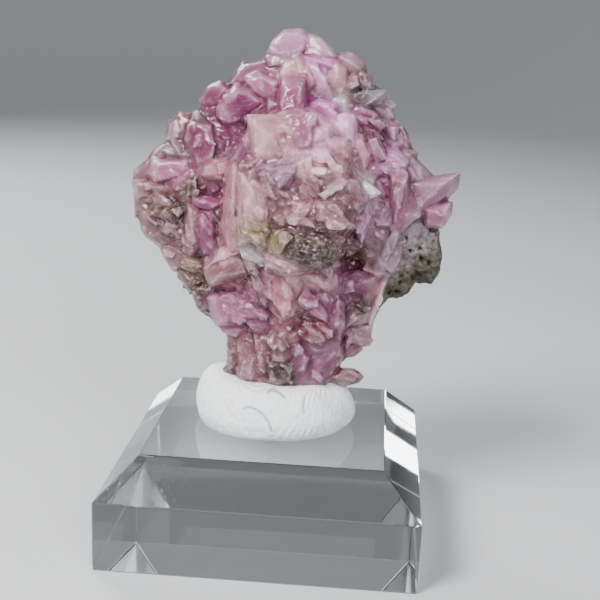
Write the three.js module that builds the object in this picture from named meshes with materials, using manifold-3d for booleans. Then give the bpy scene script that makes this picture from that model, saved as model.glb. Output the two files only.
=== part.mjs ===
// Cobaltoan calcite on its host rock, held by mineral tack on a bevelled clear acrylic block.
// Millimetres, +Z up. The origin is the centre of the block's underside, and the specimen's
// display face looks towards -Y.
import * as THREE from "three";
import { ConvexGeometry } from "three/addons/geometries/ConvexGeometry.js";
import { mergeVertices } from "three/addons/utils/BufferGeometryUtils.js";
import Module from "manifold-3d";

const wasm = await Module();
wasm.setup();

// ---- driving dimensions ----
const BLOCK_SIDE = 38.1; // a 1 1/2 inch square display block
const BLOCK_WALL = 8.5; // upright part of its sides
const BEVEL_RISE = 4.5;
const BEVEL_RUN = 4.6;
const BLOCK_TOP = BLOCK_WALL + BEVEL_RISE;
const GAP = 0.3; // clearance between touching pieces

// The display face is laid out as it is seen from one standing point: (x, z) names where a feature
// is seen on the plane y = FACE_Y, and y says how deep it really lies.
const SEEN_FROM = new THREE.Vector3(12, -134, 64.7);
const FACE_Y = -6;
const MIDDLE = [1.5, 41]; // centre of the face, in seen (x, z)
const RING_SHARES = [0.42, 0.72, 1]; // of the way from the middle out to an outline

// ---- outlines of the face, clockwise from the top, in seen (x, z) ----
const ROCK_OUTLINE = [
  [1, 58.6], [5, 58.2], [8.8, 57.6], [12, 53.6], [14.4, 49.8], [16.6, 46], [18.4, 42.6],
  [19.4, 39.6], [19.6, 36], [18, 34.3], [15.8, 33.6], [14, 31.4], [12.3, 28.4], [10.2, 25.6],
  [8.6, 22.6], [7.2, 19.6], [3.2, 18.4], [-1.4, 18.4], [-3.8, 19.8], [-4.8, 22.4], [-5.5, 25.6],
  [-8.2, 28.4], [-10.4, 31.6], [-12.6, 34.8], [-15, 37.6], [-16.2, 41], [-16.6, 44], [-14.8, 46.4],
  [-12.2, 48.4], [-9.8, 51], [-7.4, 53.4], [-4.2, 56.6],
];
const CRUST_OUTLINE = [
  [1, 60], [5, 59], [8.6, 58], [11.4, 54.6], [13.4, 51], [15.4, 47.6], [17.4, 45],
  [17.2, 42.2], [14.8, 39.6], [13.6, 36.4], [12.6, 33.6], [11.6, 30.6], [10.6, 27.2], [9, 24.4],
  [7.8, 21.6], [6.4, 18.8], [3, 17.6], [-1.2, 17.8], [-3.6, 19.2], [-4.4, 22.4], [-4.8, 26],
  [-7, 28.4], [-9, 31.8], [-11.2, 35], [-13.8, 37.8], [-15, 41], [-15.2, 44], [-13.4, 46.6],
  [-11, 49.6], [-9, 52], [-6.6, 54.4], [-3.4, 57.4],
];

// ---- crystals of the display face ----
// Each crystal shows one main face: how far it stands off the crust, how much it rises towards +x
// and towards +z, and its corners in seen (x, z).
const CROWN = [
  [0.5, 0, -0.25, [-1.4, 59.4], [-0.8, 60.9], [0.3, 62], [2, 62.2], [3.1, 61.4], [2.7, 60], [0.4, 59.2]],
  [0.9, 0.1, -0.1,
    [2.4, 61.2], [3.2, 61.8], [4.4, 61.4], [5.8, 60.3], [6.2, 59.6], [4.6, 59.3], [2.3, 59.4]
  ],
  [0.6, 0, -0.3, [-1.6, 59.2], [0.4, 59.8], [2.3, 60], [2.2, 58.9], [0.2, 58.3], [-1.4, 58.1]],
  [1, 0, 0, [0.2, 58.5], [1.9, 59], [2.6, 58.3], [1.6, 57.2], [0.9, 56.2], [0, 57]],
  [1, 0, -0.1, [2.4, 59.4], [5.4, 59.7], [6.6, 59], [7.1, 58.1], [5.6, 57.5], [4.3, 57.8], [3.4, 58.5]],
  [0.9, 0.2, 0, [1.6, 57.9], [3.2, 58.2], [4, 56.6], [2.9, 54.8], [1.4, 55], [1, 56.8]],
  [1.7, 0.3, 0.1, [3, 58.7], [4.2, 58.3], [5.5, 56.2], [5.1, 55.4], [4, 56.6]],
  [1.1, -0.2, 0, [6.3, 58.9], [7.4, 58.2], [7.6, 56.4], [7.1, 54.9], [5.5, 55.2], [5.2, 57.1]],
  [0.8, 0, 0.2, [3.8, 56], [5.6, 56.2], [6.3, 54.8], [5, 54.1], [3.3, 54.6]],
  [0.8, 0.25, -0.2, [-5.8, 56], [-4.3, 58], [-1.6, 58.7], [-0.9, 57.4], [-1.4, 55.7], [-3.8, 55.4]],
  [1.9, 0.2, 0.1, [-3.9, 56.6], [-2.4, 57.2], [-0.3, 56.4], [-0.1, 54.1], [-1.6, 54.3], [-3.2, 55.2]],
  [2.2, -0.25, 0,
    [-6.9, 51.9], [-6, 51.2], [-4.8, 51.3], [-1.5, 54.2], [-3.4, 55.3], [-5.2, 55.6], [-6.9, 53.3]
  ],
  [0.9, 0.2, -0.2,
    [-9, 54], [-8.3, 55.4], [-7, 56], [-5.8, 55.7], [-5.8, 54.4], [-6.6, 53.2], [-8.2, 53]
  ],
  [1.8, 0, -0.1, [0.4, 56.4], [2.6, 56.5], [2.9, 53], [2.2, 52.3], [0.3, 52.3], [-0.1, 54]],
  [1.6, 0.1, -0.2,
    [3.6, 54.2], [4.7, 54.5], [6.4, 54.1], [6.8, 52.8], [5.9, 52.2], [4.3, 52.5], [3.4, 53.2]
  ],
  [0.4, -0.2, -0.3, [6.6, 59.6], [8, 60], [9.3, 59.1], [9.6, 58.1], [8.4, 57.5], [7.2, 58.2]],
  [0.4, -0.2, -0.3,
    [7.2, 54.7], [8.8, 55.8], [10.8, 56.3], [12.2, 55.3], [12, 53.9], [10, 53.6], [8.2, 54.3]
  ],
  [0.1, -0.4, -0.2, [11.3, 54.9], [12.4, 55.2], [12.6, 54], [13.3, 52.9], [12.2, 52.4], [11.1, 53.5]],
];
const RIGHT_SHOULDER = [
  [1.3, -0.1, -0.2,
    [8, 54.1], [9.6, 54.2], [11.2, 53.3], [12.1, 52], [11.4, 51.4], [9.4, 51.6], [8.1, 52.7]
  ],
  [0.3, 0, 0.2, [8.8, 52], [11.4, 51.7], [12.1, 50.5], [11.2, 49.4], [9.6, 49.5], [8.9, 50.7]],
  [0.6, -0.2, -0.1, [12, 52.3], [13.2, 52.6], [14.3, 51.2], [14.9, 49.7], [13.4, 49.1], [12, 49.9]],
  [1.8, -0.1, -0.3, [11.4, 49.4], [13.8, 49.2], [15.1, 48], [14.8, 46.6], [12.6, 46.1], [11.2, 47.2]],
  [0.7, -0.3, -0.2, [15.3, 48.9], [16.7, 47.7], [18.2, 46.3], [17.4, 45.5], [15.6, 46.1], [14.9, 47.2]],
  [1.2, -0.05, -0.1,
    [14.7, 43.8], [15.6, 45.6], [20.6, 46.6], [20.5, 45], [18.6, 42.8], [16.2, 42], [15, 42.2]
  ],
  [0.6, -0.2, 0.1, [17.2, 42.6], [19, 43.2], [20.4, 43.4], [20.3, 42], [19.5, 40.6], [17.9, 40.8]],
  [1.6, 0.15, 0, [13.5, 46.1], [15, 46.2], [15.3, 43.6], [14.9, 40.6], [13.9, 39.9], [13.1, 42.2]],
  [3.2, 0.1, -0.3, [9.1, 44.2], [10.2, 45.4], [11.9, 44.2], [10.6, 43.4], [9.6, 43.5]],
  [0.9, 0, -0.1, [11.2, 42.3], [12.8, 42.7], [13.9, 42], [13.4, 40.4], [11.6, 40.3]],
  [0.5, 0, 0.1, [11, 40.2], [13, 40.3], [13.2, 38.8], [12.2, 37.4], [11, 38]],
  [1.3, 0.3, 0, [13.9, 40], [14.7, 39.8], [14.2, 38], [13.2, 35.8], [12.4, 36.2], [13, 38.2]],
  [0.9, -0.1, 0, [14.3, 38.8], [15.1, 38.4], [14.9, 36.2], [13.9, 34.6], [13.2, 35.2]],
  [0.5, 0, 0.2, [11.7, 35.6], [13.1, 35.4], [13.8, 34.5], [12.9, 33.5], [11.6, 34]],
  [3, -0.2, 0.1, [9.3, 43.2], [10.9, 43], [11.1, 40.8], [10.3, 38.6], [9.4, 40.2]],
  [2, -0.2, 0.1, [7.2, 45], [9.2, 45], [10.6, 43.4], [9.6, 42], [8.4, 42.2], [7.2, 43.4]],
  [4, 0, -0.1, [5.2, 42.3], [6.6, 42.6], [7.8, 41.6], [9.2, 40.2], [8.4, 39.9], [6.6, 40.2], [5.3, 40.6]],
];
const MIDDLE_CLUSTER = [
  [1.2, 0, -0.1,
    [-3.1, 51.9], [-1, 52], [1.3, 51.6], [2.5, 48.6], [1.8, 46.6], [-1.6, 46.6], [-2.6, 47.6]
  ],
  [0.8, 0.5, -0.1, [-3.6, 50.6], [-3, 51.6], [-2.4, 49], [-2.8, 47.4], [-4.2, 46.4], [-5.3, 47.2]],
  [0.9, 0.35, 0, [-5.2, 46.2], [-4, 46], [-4.1, 42], [-4.3, 37], [-5.6, 37], [-6.2, 39.6], [-5.9, 42.8]],
  [1.7, 0.1, -0.1, [-4.1, 45.5], [-2.6, 45.2], [-1.4, 43.2], [-0.6, 41.2], [-1.4, 40], [-4, 40.2]],
  [1.6, 0.05, 0, [-4.1, 40.4], [-1.2, 40.3], [-0.4, 38.6], [-1.8, 37.2], [-4, 37.4]],
  [1.5, 0, 0.1, [-4, 37.6], [-1.8, 37.4], [-0.6, 36.2], [-1.8, 35.2], [-3.6, 35.8]],
  [1.4, 0, 0.1, [-2.4, 46.8], [1.9, 46.4], [1.8, 44.4], [0.4, 43.8], [-1.8, 44.2], [-2.4, 45.6]],
  [1.3, 0.1, -0.1, [1.7, 52.2], [4, 52.7], [4.2, 50.6], [3.6, 49], [2.4, 48.8], [1.5, 51]],
  [1.2, -0.1, 0, [4.1, 51.6], [5.8, 51.6], [6.2, 50], [4.6, 48.9], [3.8, 49.6]],
  [1.6, -0.1, -0.1,
    [5.6, 52.2], [7.2, 52.7], [8.4, 52.8], [8.8, 51.6], [8.6, 49.6], [7.4, 48.8], [6, 50]
  ],
  [1.1, -0.1, 0.1, [5.4, 50.2], [8.2, 50], [8.2, 48], [7, 47], [5.8, 48.6]],
  [0.9, -0.3, 0, [8.5, 50.6], [9.6, 50.8], [10.6, 48.6], [10.4, 47], [9, 46.4], [8.4, 48]],
  [2.3, 0, -0.3, [3.8, 48.4], [4.8, 48.9], [5.9, 48.7], [6.3, 47.8], [5, 47.4], [3.9, 47.6]],
  [2.3, -0.3, 0, [6, 48.4], [6.7, 47.6], [7, 46.6], [8.4, 45.2], [7.6, 45], [6.2, 46.4], [5.8, 47.6]],
  [1.8, 0, 0, [2.4, 47.2], [3.2, 47.9], [3.9, 47.3], [3.8, 46.3], [2.8, 46.2], [2.2, 46.6]],
  [1.2, 0, 0.1, [2, 46.4], [4.2, 46], [5.4, 45], [5.2, 43], [3.2, 42.6], [1.9, 44.4]],
  [2, 0, -0.2, [1.8, 40.9], [3, 41.2], [4.4, 40.3], [5, 39.6], [3.6, 39.9], [2, 40.1]],
  [1.2, 0, 0, [0, 42], [1.8, 42.2], [2, 40.4], [0.6, 39.4], [-0.6, 40.6]],
  [1.5, 0, 0.1, [1, 40], [3.6, 39.9], [6.8, 39], [7.4, 37], [5.4, 35.2], [2, 35.6], [0.4, 37.4]],
  [1.9, -0.2, 0, [5.2, 39.6], [7, 39.4], [8, 38.4], [7.4, 36.6], [6, 36.8]],
  [1.5, 0, 0, [-0.8, 38.6], [1.2, 39.2], [1.8, 37.2], [0.6, 36], [-0.8, 36.4]],
  [1.4, 0, 0.2, [-1, 36.6], [1.4, 36.6], [2.6, 35.4], [1.4, 34.4], [-0.6, 34.8]],
  [1, 0, 0, [4.6, 36.4], [7, 36.6], [7.6, 35.4], [6.6, 33.8], [5.2, 34.4]],
];
const LEFT_SHOULDER = [
  [0.2, 0.3, -0.3,
    [-13.6, 48.6], [-12, 48.8], [-11.2, 47.6], [-13.2, 46.6], [-15.2, 46.6], [-14.6, 47.8]
  ],
  [0.1, 0.4, -0.1,
    [-15.4, 46.6], [-14.4, 46.4], [-14.8, 44.2], [-16.2, 42.4], [-17, 43.8], [-16.8, 45.4]
  ],
  [1.6, 0.1, -0.2, [-14.8, 46.6], [-10.6, 46.9], [-10, 45.6], [-12, 44.7], [-14.6, 44.1], [-15, 45.2]],
  [0.6, 0, 0, [-13.2, 47.9], [-10.6, 48.4], [-9.9, 46.8], [-12.8, 46.5]],
  [1, 0.3, -0.1,
    [-13.1, 49.6], [-12.6, 51.3], [-11.6, 52.3], [-10.4, 52], [-10, 50.8], [-10.6, 48.6], [-12, 48.2]
  ],
  [1.7, 0.1, -0.1,
    [-10.6, 51], [-9.6, 51.6], [-8, 51], [-7.2, 49], [-7.4, 46.6], [-9.4, 46.2], [-10.9, 49.4]
  ],
  [1.6, 0, -0.3, [-9.9, 52.2], [-9.4, 52.5], [-8.5, 51.6], [-8.9, 50.9], [-9.9, 51.2]],
  [2, 0.2, -0.1,
    [-8.6, 46.2], [-7.4, 47.2], [-5.8, 47.2], [-5, 46], [-5.6, 44.8], [-7.6, 44.9], [-8.8, 45.2]
  ],
  [0.5, 0.1, -0.2,
    [-16.6, 44], [-14.6, 44.2], [-12, 44.2], [-10.8, 43.4], [-11, 42.2], [-14, 42.4], [-16.4, 42.2]
  ],
  [0.6, 0.2, 0.1, [-16.6, 42.4], [-13.6, 42.5], [-12, 41.6], [-12.4, 40], [-14.8, 39.6], [-16.4, 40]],
  [0.5, -0.1, 0, [-12.4, 41.8], [-10.6, 42], [-10.2, 40], [-11.6, 38.8], [-12.8, 39.8]],
  [0.8, 0.1, -0.1, [-16, 40], [-13, 39.9], [-11, 39.2], [-10.8, 38], [-13.6, 37.8], [-15.6, 38.2]],
  [0.4, 0, 0.2, [-15.8, 38.4], [-13.2, 38.2], [-11.4, 37.8], [-11, 36.8], [-13.2, 36.4], [-15.2, 37.4]],
  [2, 0.25, 0,
    [-10.4, 41.4], [-9.4, 41.2], [-9, 38.6], [-9.2, 36.6], [-10, 35.8], [-10.9, 36.4], [-10.8, 38.6]
  ],
  [1.4, -0.15, 0, [-9.2, 40.6], [-8, 40.6], [-6.8, 38.6], [-6.6, 36.6], [-8, 35.8], [-9.2, 36.6]],
  [1.1, 0, -0.2, [-9.6, 42.6], [-8, 42.7], [-6, 42.2], [-5.9, 41.4], [-8, 41], [-9.6, 41.4]],
  [0.5, 0.3, 0, [-13.9, 36.8], [-12.2, 36.8], [-10.6, 35.8], [-10.8, 34.4], [-12.2, 33.7], [-13.2, 35.2]],
  [0.7, 0, -0.2, [-10.8, 35.6], [-9.2, 35.4], [-8.2, 34], [-9.6, 33.2], [-11.2, 34]],
  [0.4, 0.3, 0.1, [-11.6, 33.8], [-9.6, 33.4], [-8.4, 32], [-9.4, 30.6], [-10.6, 31.6]],
];
const BELOW_CLUSTER = [
  [2.6, 0.15, -0.25,
    [-8, 34.2], [-7, 35.4], [-5.4, 36.2], [-4.2, 36], [-3.2, 34.6], [-3.4, 33.8], [-7.4, 32.2]
  ],
  [2.2, 0.3, -0.8, [-8, 34.3], [-6.6, 36], [-5, 37.2], [-3.9, 37], [-4.4, 36], [-6.6, 34.8]],
  [0.6, 0, 0.3, [-7, 32.6], [-5.6, 32.6], [-3.4, 33.8], [-2.8, 32.6], [-3, 31.4], [-6, 31.4]],
  [1.6, 0.15, -0.2,
    [-7.4, 30.4], [-5.6, 31.6], [-3, 31.4], [-0.6, 30], [-0.4, 28.6], [-4, 27.5], [-6.4, 27.4]
  ],
  [2.4, 0.2, 0, [-3.5, 35.4], [-2.7, 35.6], [-0.4, 30], [-0.9, 29.6], [-1.5, 30]],
  [1.9, 0.1, 0, [-2.6, 35.4], [-0.9, 35.2], [0.1, 33], [-0.1, 30.4], [-0.9, 30.4], [-2, 33.6]],
  [1.8, -0.1, 0, [-0.6, 34.9], [1.4, 34.8], [2.2, 32], [2.4, 29.2], [1.2, 28.7], [-0.1, 29.8]],
  [1.2, -0.2, 0, [1.4, 34.8], [2.9, 34.4], [3.3, 32], [3, 29.6], [2.3, 29.4], [2, 32]],
  [1.4, 0, -0.1, [3, 34.8], [4.6, 35], [6, 34], [6.4, 32.8], [5.4, 32], [3.6, 32], [2.9, 33.2]],
  [1.9, -0.1, 0, [6.3, 36.6], [6.9, 36.2], [7.7, 33.6], [7.5, 32.4], [6.7, 31.9], [6, 32.8], [6, 34.6]],
  [2.4, 0, -0.1, [3, 31.2], [4.2, 31.6], [5.6, 30.8], [6.6, 29.2], [6.4, 28.4], [5, 28.9], [3.8, 30]],
  [2.2, -0.1, -0.1,
    [6.8, 28.6], [7.2, 30.6], [7.9, 31.2], [8.5, 30.6], [8.8, 27.8], [8.2, 26], [6.8, 26.4]
  ],
  [1.6, 0, -0.2, [1.9, 29.2], [4, 28.5], [6.7, 28.4], [7.2, 26.6], [6.4, 25.4], [4.8, 25.2], [3.1, 26.2]],
  [1.4, 0, 0.2,
    [3.2, 26.4], [5, 25.6], [6.9, 25.6], [8.2, 26.4], [8.4, 24], [6.6, 23], [5, 23.4], [3.8, 25]
  ],
  [0.9, 0, -0.1, [7.8, 34.2], [10, 34.5], [12.1, 34], [12.1, 32], [10, 31.4], [8, 31.9], [7.5, 33]],
  [0.4, 0, 0, [8.9, 31.6], [11.2, 31.5], [11.9, 30.4], [11.2, 29.4], [9.1, 29.2]],
  [0.3, -0.3, 0,
    [12.2, 34.4], [13.6, 34.2], [13, 32], [12.2, 29.6], [11.8, 28], [11.2, 28.6], [11.8, 30.6]
  ],
  [0.8, -0.1, 0, [8.6, 28], [10.6, 28.3], [11.9, 28], [11.7, 26.6], [10.6, 25.8], [8.9, 26.2]],
  [0.5, -0.2, 0.2, [8.8, 26.2], [10.6, 26.1], [10.9, 25], [10, 24.2], [8.6, 24]],
];
const FOOT = [
  [1.1, 0.2, 0,
    [-4, 26.4], [-2.4, 26.8], [-1.6, 25.6], [-1.9, 23], [-2.6, 21], [-3.6, 20.8], [-4.1, 23.6]
  ],
  [1.2, 0, -0.1, [-2.3, 26.4], [-0.6, 26], [-0.3, 23.4], [-0.6, 21.4], [-2.2, 21], [-2, 23.4]],
  [1.4, 0, 0.1, [-3.9, 21.8], [-0.3, 21.6], [-0.4, 19.9], [-2, 19.5], [-3.8, 19.4]],
  [0.8, 0.3, 0, [-5.9, 21.2], [-5, 22.2], [-4, 21.6], [-3.8, 20], [-4.6, 19.4], [-5.6, 20.2]],
  [0.5, 0.4, 0, [-5.4, 26.4], [-4.3, 27], [-3.7, 25], [-4, 22.4], [-4.9, 22.2], [-5.2, 24]],
  [1.2, 0, -0.1, [0, 25.6], [1.2, 26.3], [2.4, 25.4], [2.6, 23.6], [1.4, 22.7], [0.1, 23]],
  [1.2, 0, 0.1, [-0.2, 23], [1.4, 22.9], [2.6, 22.4], [2.6, 20.4], [1, 19.9], [-0.2, 20.2]],
  [1.1, 0, 0, [2.3, 24.8], [3.8, 25], [4.6, 23.6], [4.2, 21.8], [2.8, 21.4], [2.2, 22.8]],
  [1.5, 0.05, 0, [5, 24.6], [6.8, 24.9], [8.2, 24.8], [7.8, 22.6], [6.6, 20.9], [5.6, 21.6], [5, 23]],
  [1.6, 0, -0.2, [6.4, 21.8], [8.2, 22.4], [10, 22.4], [11.1, 21.6], [10.6, 20.9], [9, 20.4], [6, 20.9]],
];
const FACES = [CROWN, RIGHT_SHOULDER, MIDDLE_CLUSTER, LEFT_SHOULDER, BELOW_CLUSTER, FOOT].flat();
const CRYSTAL_DEPTH = 3.4; // from the face back into the crust
const ROOT_SPREAD = 1.12; // the root's share of the outline
const GROUND_DROP = 1.2; // from the crust's general front back to the ground between crystals
// of alternate corners: share of the outline, and depth behind the face
const SHOULDERS = [
  [0.94, 1.3],
  [0.82, 0.3],
];
const APEX_RISE = 0.3;

// ---- small crystals that stand outwards round the crust's edge ----
const RIM_PITCH = 3.9;
const RIM_DEPTHS = [-0.4, -2]; // of alternate crystals, from the seam
const RIM_LENGTH = 1.6;
const RIM_WIDTH = 3;

// A fixed, repeatable number from 0 to 1 for crystal i and use k.
function jitter(i, k) {
  const wave = Math.sin(i * 12.9898 + k * 78.233) * 43758.5453;
  return wave - Math.floor(wave);
}

function spread(i, k, amount) {
  return (jitter(i, k) * 2 - 1) * amount;
}

// The real point at depth y that is seen at (x, z).
function place(x, z, y) {
  const reach = (y - SEEN_FROM.y) / (FACE_Y - SEEN_FROM.y);
  return new THREE.Vector3(
    SEEN_FROM.x + (x - SEEN_FROM.x) * reach,
    y,
    SEEN_FROM.z + (z - SEEN_FROM.z) * reach,
  );
}

// 0 at the middle of the face and about 1 at its diamond-shaped edge.
function edgeShare(x, z) {
  const tall = z > 42 ? 20 : 29;
  return Math.abs(x - MIDDLE[0]) / 19 + Math.abs(z - 42) / tall;
}

function bump(x, z, cx, cz, rx, rz) {
  return Math.exp(-(((x - cx) / rx) ** 2) - ((z - cz) / rz) ** 2);
}

// Depth of the crust's front: a low dome, the proud middle cluster and two deep pockets.
function crustFront(x, z) {
  const share = Math.min(1.2, edgeShare(x, z));
  const dome = -2.2 - 4.4 * (1 - share * share);
  const inCluster = 1 - ((x - 2) / 8.6) ** 2 - ((z - 44) / 10.6) ** 2;
  const cluster = 5.2 * Math.min(1, Math.max(0, inCluster * 2.2));
  const pockets = 4 * bump(x, z, 9.2, 35.6, 2, 1.8) + 1.6 * bump(x, z, -7, 43.4, 2, 2);
  return Math.min(dome - cluster + pockets, -1.2);
}

// Depth of the seam between crust and rock, further forward where the rock shows on the right.
function seam(x, z) {
  return 0.6 - 2.6 * bump(x, z, 17, 37, 4.5, 5) + 0.5 * Math.sin(x * 0.5) * Math.cos(z * 0.4);
}

// Depth of the rock's broken back.
function rockBack(x, z) {
  const share = Math.min(1, edgeShare(x, z));
  const broken = 0.5 * Math.sin(x * 0.5 + z * 0.3) + 0.4 * Math.cos(z * 0.5 - x * 0.3);
  const tuck = 0.5 * Math.max(0, 24 - z); // towards the foot
  return 2.6 + 5.6 * Math.sqrt(1 - share ** 3) + broken - tuck;
}

// ---- solids ----
function solidOf(geometry) {
  const bare = geometry.clone();
  bare.deleteAttribute("normal");
  bare.deleteAttribute("uv");
  const merged = mergeVertices(bare, 1e-3);
  return new wasm.Manifold(
    new wasm.Mesh({
      numProp: 3,
      vertProperties: new Float32Array(merged.attributes.position.array),
      triVerts: new Uint32Array(merged.index.array),
    }),
  );
}

function geometryOf(solid) {
  const mesh = solid.getMesh();
  const geometry = new THREE.BufferGeometry();
  geometry.setAttribute("position", new THREE.BufferAttribute(mesh.vertProperties, 3));
  geometry.setIndex(new THREE.BufferAttribute(mesh.triVerts, 1));
  return geometry.toNonIndexed();
}

function solidFrom(positions, faces) {
  const geometry = new THREE.BufferGeometry();
  geometry.setAttribute("position", new THREE.Float32BufferAttribute(positions, 3));
  geometry.setIndex(faces);
  return solidOf(geometry);
}

function hullOf(points) {
  return solidOf(new ConvexGeometry(points));
}

// The main body of a solid, its vertices welded, without loose chips or sealed bubbles.
function mainBody(solid) {
  const pieces = solidOf(geometryOf(solid)).decompose();
  return pieces.reduce((best, piece) => (piece.volume() > best.volume() ? piece : best));
}

// A closed pillow between two depth functions: rings grow from the middle out to the outline.
function pillow(outline, frontDepth, backDepth, swell = 0) {
  const corners = outline.length;
  const positions = [];
  const faces = [];
  const sheet = (depth, turned) => {
    const first = positions.length / 3;
    for (const share of RING_SHARES) {
      for (const [x, z] of outline) {
        const reach = share * (1 + swell / Math.hypot(x - MIDDLE[0], z - MIDDLE[1]));
        const seenX = MIDDLE[0] + (x - MIDDLE[0]) * reach;
        const seenZ = MIDDLE[1] + (z - MIDDLE[1]) * reach;
        positions.push(...place(seenX, seenZ, depth(seenX, seenZ)).toArray());
      }
    }
    const centre = positions.length / 3;
    positions.push(...place(...MIDDLE, depth(...MIDDLE)).toArray());
    for (let corner = 0; corner < corners; corner++) {
      const next = (corner + 1) % corners;
      stitch(centre, first + corner, first + next, turned);
      for (let inner = first; inner < centre - corners; inner += corners) {
        const outer = inner + corners;
        stitch(inner + corner, outer + corner, outer + next, turned);
        stitch(inner + corner, outer + next, inner + next, turned);
      }
    }
    return centre - corners;
  };
  const stitch = (a, b, c, turned) => faces.push(...(turned ? [a, c, b] : [a, b, c]));
  const frontRim = sheet(frontDepth, true);
  const backRim = sheet(backDepth, false);
  for (let corner = 0; corner < corners; corner++) {
    const next = (corner + 1) % corners;
    stitch(frontRim + corner, backRim + corner, backRim + next, true);
    stitch(frontRim + corner, backRim + next, frontRim + next, true);
  }
  return solidFrom(positions, faces);
}

// A crystal behind one named face, its corners stepping down by turns below a low apex.
function facedCrystal([up, riseX, riseZ, ...corners], i) {
  const midX = corners.reduce((sum, [x]) => sum + x, 0) / corners.length;
  const midZ = corners.reduce((sum, [, z]) => sum + z, 0) / corners.length;
  const face = crustFront(midX, midZ) - up;
  const leanX = riseX + spread(i, 1, 0.2);
  const leanZ = riseZ + spread(i, 2, 0.2);
  const corner = (inX, inZ, below) =>
    place(midX + inX, midZ + inZ, face + below - leanX * inX - leanZ * inZ);
  const points = [corner(spread(i, 3, 0.4), spread(i, 4, 0.4), -APEX_RISE)];
  corners.forEach(([x, z], k) => {
    const [share, below] = SHOULDERS[k % 2];
    points.push(corner((x - midX) * share, (z - midZ) * share, below));
    const rootX = midX + (x - midX) * ROOT_SPREAD;
    const rootZ = midZ + (z - midZ) * ROOT_SPREAD;
    points.push(place(rootX, rootZ, face + CRYSTAL_DEPTH));
  });
  return hullOf(points);
}

// A small pointed crystal from tail to tip, its corners stepping up and down by turns.
function pointedCrystal(tail, tip, width, i) {
  const axis = tip.clone().sub(tail);
  const side = new THREE.Vector3(-axis.z, 0, axis.x).normalize();
  const across = new THREE.Vector3().crossVectors(axis, side).normalize();
  const points = [tip];
  for (const [share, step] of [[0, 0], [0.62, 0.07]]) {
    for (let corner = 0; corner < 4; corner++) {
      const angle = (corner * Math.PI) / 2 + spread(i, 8 + corner, 0.3);
      points.push(
        tail
          .clone()
          .addScaledVector(axis, share + (corner % 2 ? step : -step))
          .addScaledVector(side, (Math.cos(angle) * width) / 2)
          .addScaledVector(across, (Math.sin(angle) * width) / 2),
      );
    }
  }
  return hullOf(points);
}

// Crystals that stand outwards all round the edge of the crust.
function rimCrystals() {
  const made = [];
  let travelled = 0;
  CRUST_OUTLINE.forEach(([ax, az], k) => {
    const [bx, bz] = CRUST_OUTLINE[(k + 1) % CRUST_OUTLINE.length];
    const length = Math.hypot(bx - ax, bz - az);
    const outX = (az - bz) / length;
    const outZ = (bx - ax) / length;
    while (travelled < length) {
      const i = 700 + made.length;
      const share = travelled / length;
      const x = ax + (bx - ax) * share;
      const z = az + (bz - az) * share;
      travelled += RIM_PITCH;
      const depth = seam(x, z) + RIM_DEPTHS[made.length % 2];
      const size = 0.8 + 0.45 * jitter(i, 6);
      const reach = RIM_LENGTH * size * 0.5;
      const tail = place(x - outX * 2, z - outZ * 2, depth);
      const tip = place(
        x + outX * reach + spread(i, 4, 0.6),
        z + outZ * reach + spread(i, 5, 0.6),
        depth - 0.8 + spread(i, 3, 1),
      );
      made.push(pointedCrystal(tail, tip, RIM_WIDTH * size, i));
    }
    travelled -= length;
  });
  return made;
}

// Blunt lumps that break up the rock: seen x, z, depth, and half-sizes across, deep and tall.
const LUMPS = [
  [16.4, 37.2, 0.8, 3.6, 3.4, 3.6],
  [17.4, 35.6, 2.6, 2.6, 3, 2.2],
  [14.4, 34, 2.4, 2.6, 2.6, 3],
  [11.6, 47.6, 4.6, 4.6, 3.6, 5.6],
  [3.4, 51, 5.6, 6.4, 3.4, 6.4],
  [-6.6, 47, 4.8, 6.6, 3.6, 5.4],
  [-11, 41, 3.6, 4.6, 3, 4.8],
  [2, 42.6, 7, 5.6, 3.2, 5],
  [-3.6, 37, 5.8, 6, 3.6, 6],
  [8.6, 37.6, 5.6, 6, 3.6, 6.6],
  [3.4, 30, 4.6, 5.6, 3, 6],
  [-6.6, 31.6, 3, 3.4, 2.6, 4],
];
const LUMP_CORNERS = 13;
const GOLDEN_ANGLE = Math.PI * (3 - Math.sqrt(5)); // spaces the corners evenly round a lump

function lump([x, z, depth, across, deep, tall], i) {
  const centre = place(x, z, depth);
  const points = [];
  for (let k = 0; k < LUMP_CORNERS; k++) {
    const rise = 1 - (2 * (k + 0.5)) / LUMP_CORNERS;
    const angle = k * GOLDEN_ANGLE + i;
    const size = 0.86 + 0.22 * jitter(i + 50, k);
    const wide = Math.sqrt(1 - rise * rise) * size;
    points.push(
      new THREE.Vector3(
        centre.x + wide * Math.cos(angle) * across,
        centre.y + wide * Math.sin(angle) * deep,
        centre.z + rise * size * tall,
      ),
    );
  }
  return hullOf(points);
}

function rock(swell) {
  const front = (x, z) => seam(x, z) - swell;
  const back = (x, z) => rockBack(x, z) + swell;
  const body = pillow(ROCK_OUTLINE, front, back, swell);
  const swollen = LUMPS.map(([x, z, depth, across, deep, tall], i) =>
    lump([x, z, depth, across + swell, deep + swell, tall + swell], i),
  );
  return wasm.Manifold.union([body, ...swollen]);
}

function crust() {
  const ground = (x, z) => Math.min(crustFront(x, z) + GROUND_DROP, -0.8);
  const body = pillow(CRUST_OUTLINE, ground, (x, z) => seam(x, z) + 0.4);
  return wasm.Manifold.union([body, ...FACES.map(facedCrystal), ...rimCrystals()]);
}

// A square block whose upper edges are bevelled.
function displayBlock() {
  const half = BLOCK_SIDE / 2;
  const top = half - BEVEL_RUN;
  const points = [];
  for (const sx of [-1, 1]) {
    for (const sy of [-1, 1]) {
      points.push(new THREE.Vector3(sx * half, sy * half, 0));
      points.push(new THREE.Vector3(sx * half, sy * half, BLOCK_WALL));
      points.push(new THREE.Vector3(sx * top, sy * top, BLOCK_TOP));
    }
  }
  return hullOf(points);
}

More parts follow.
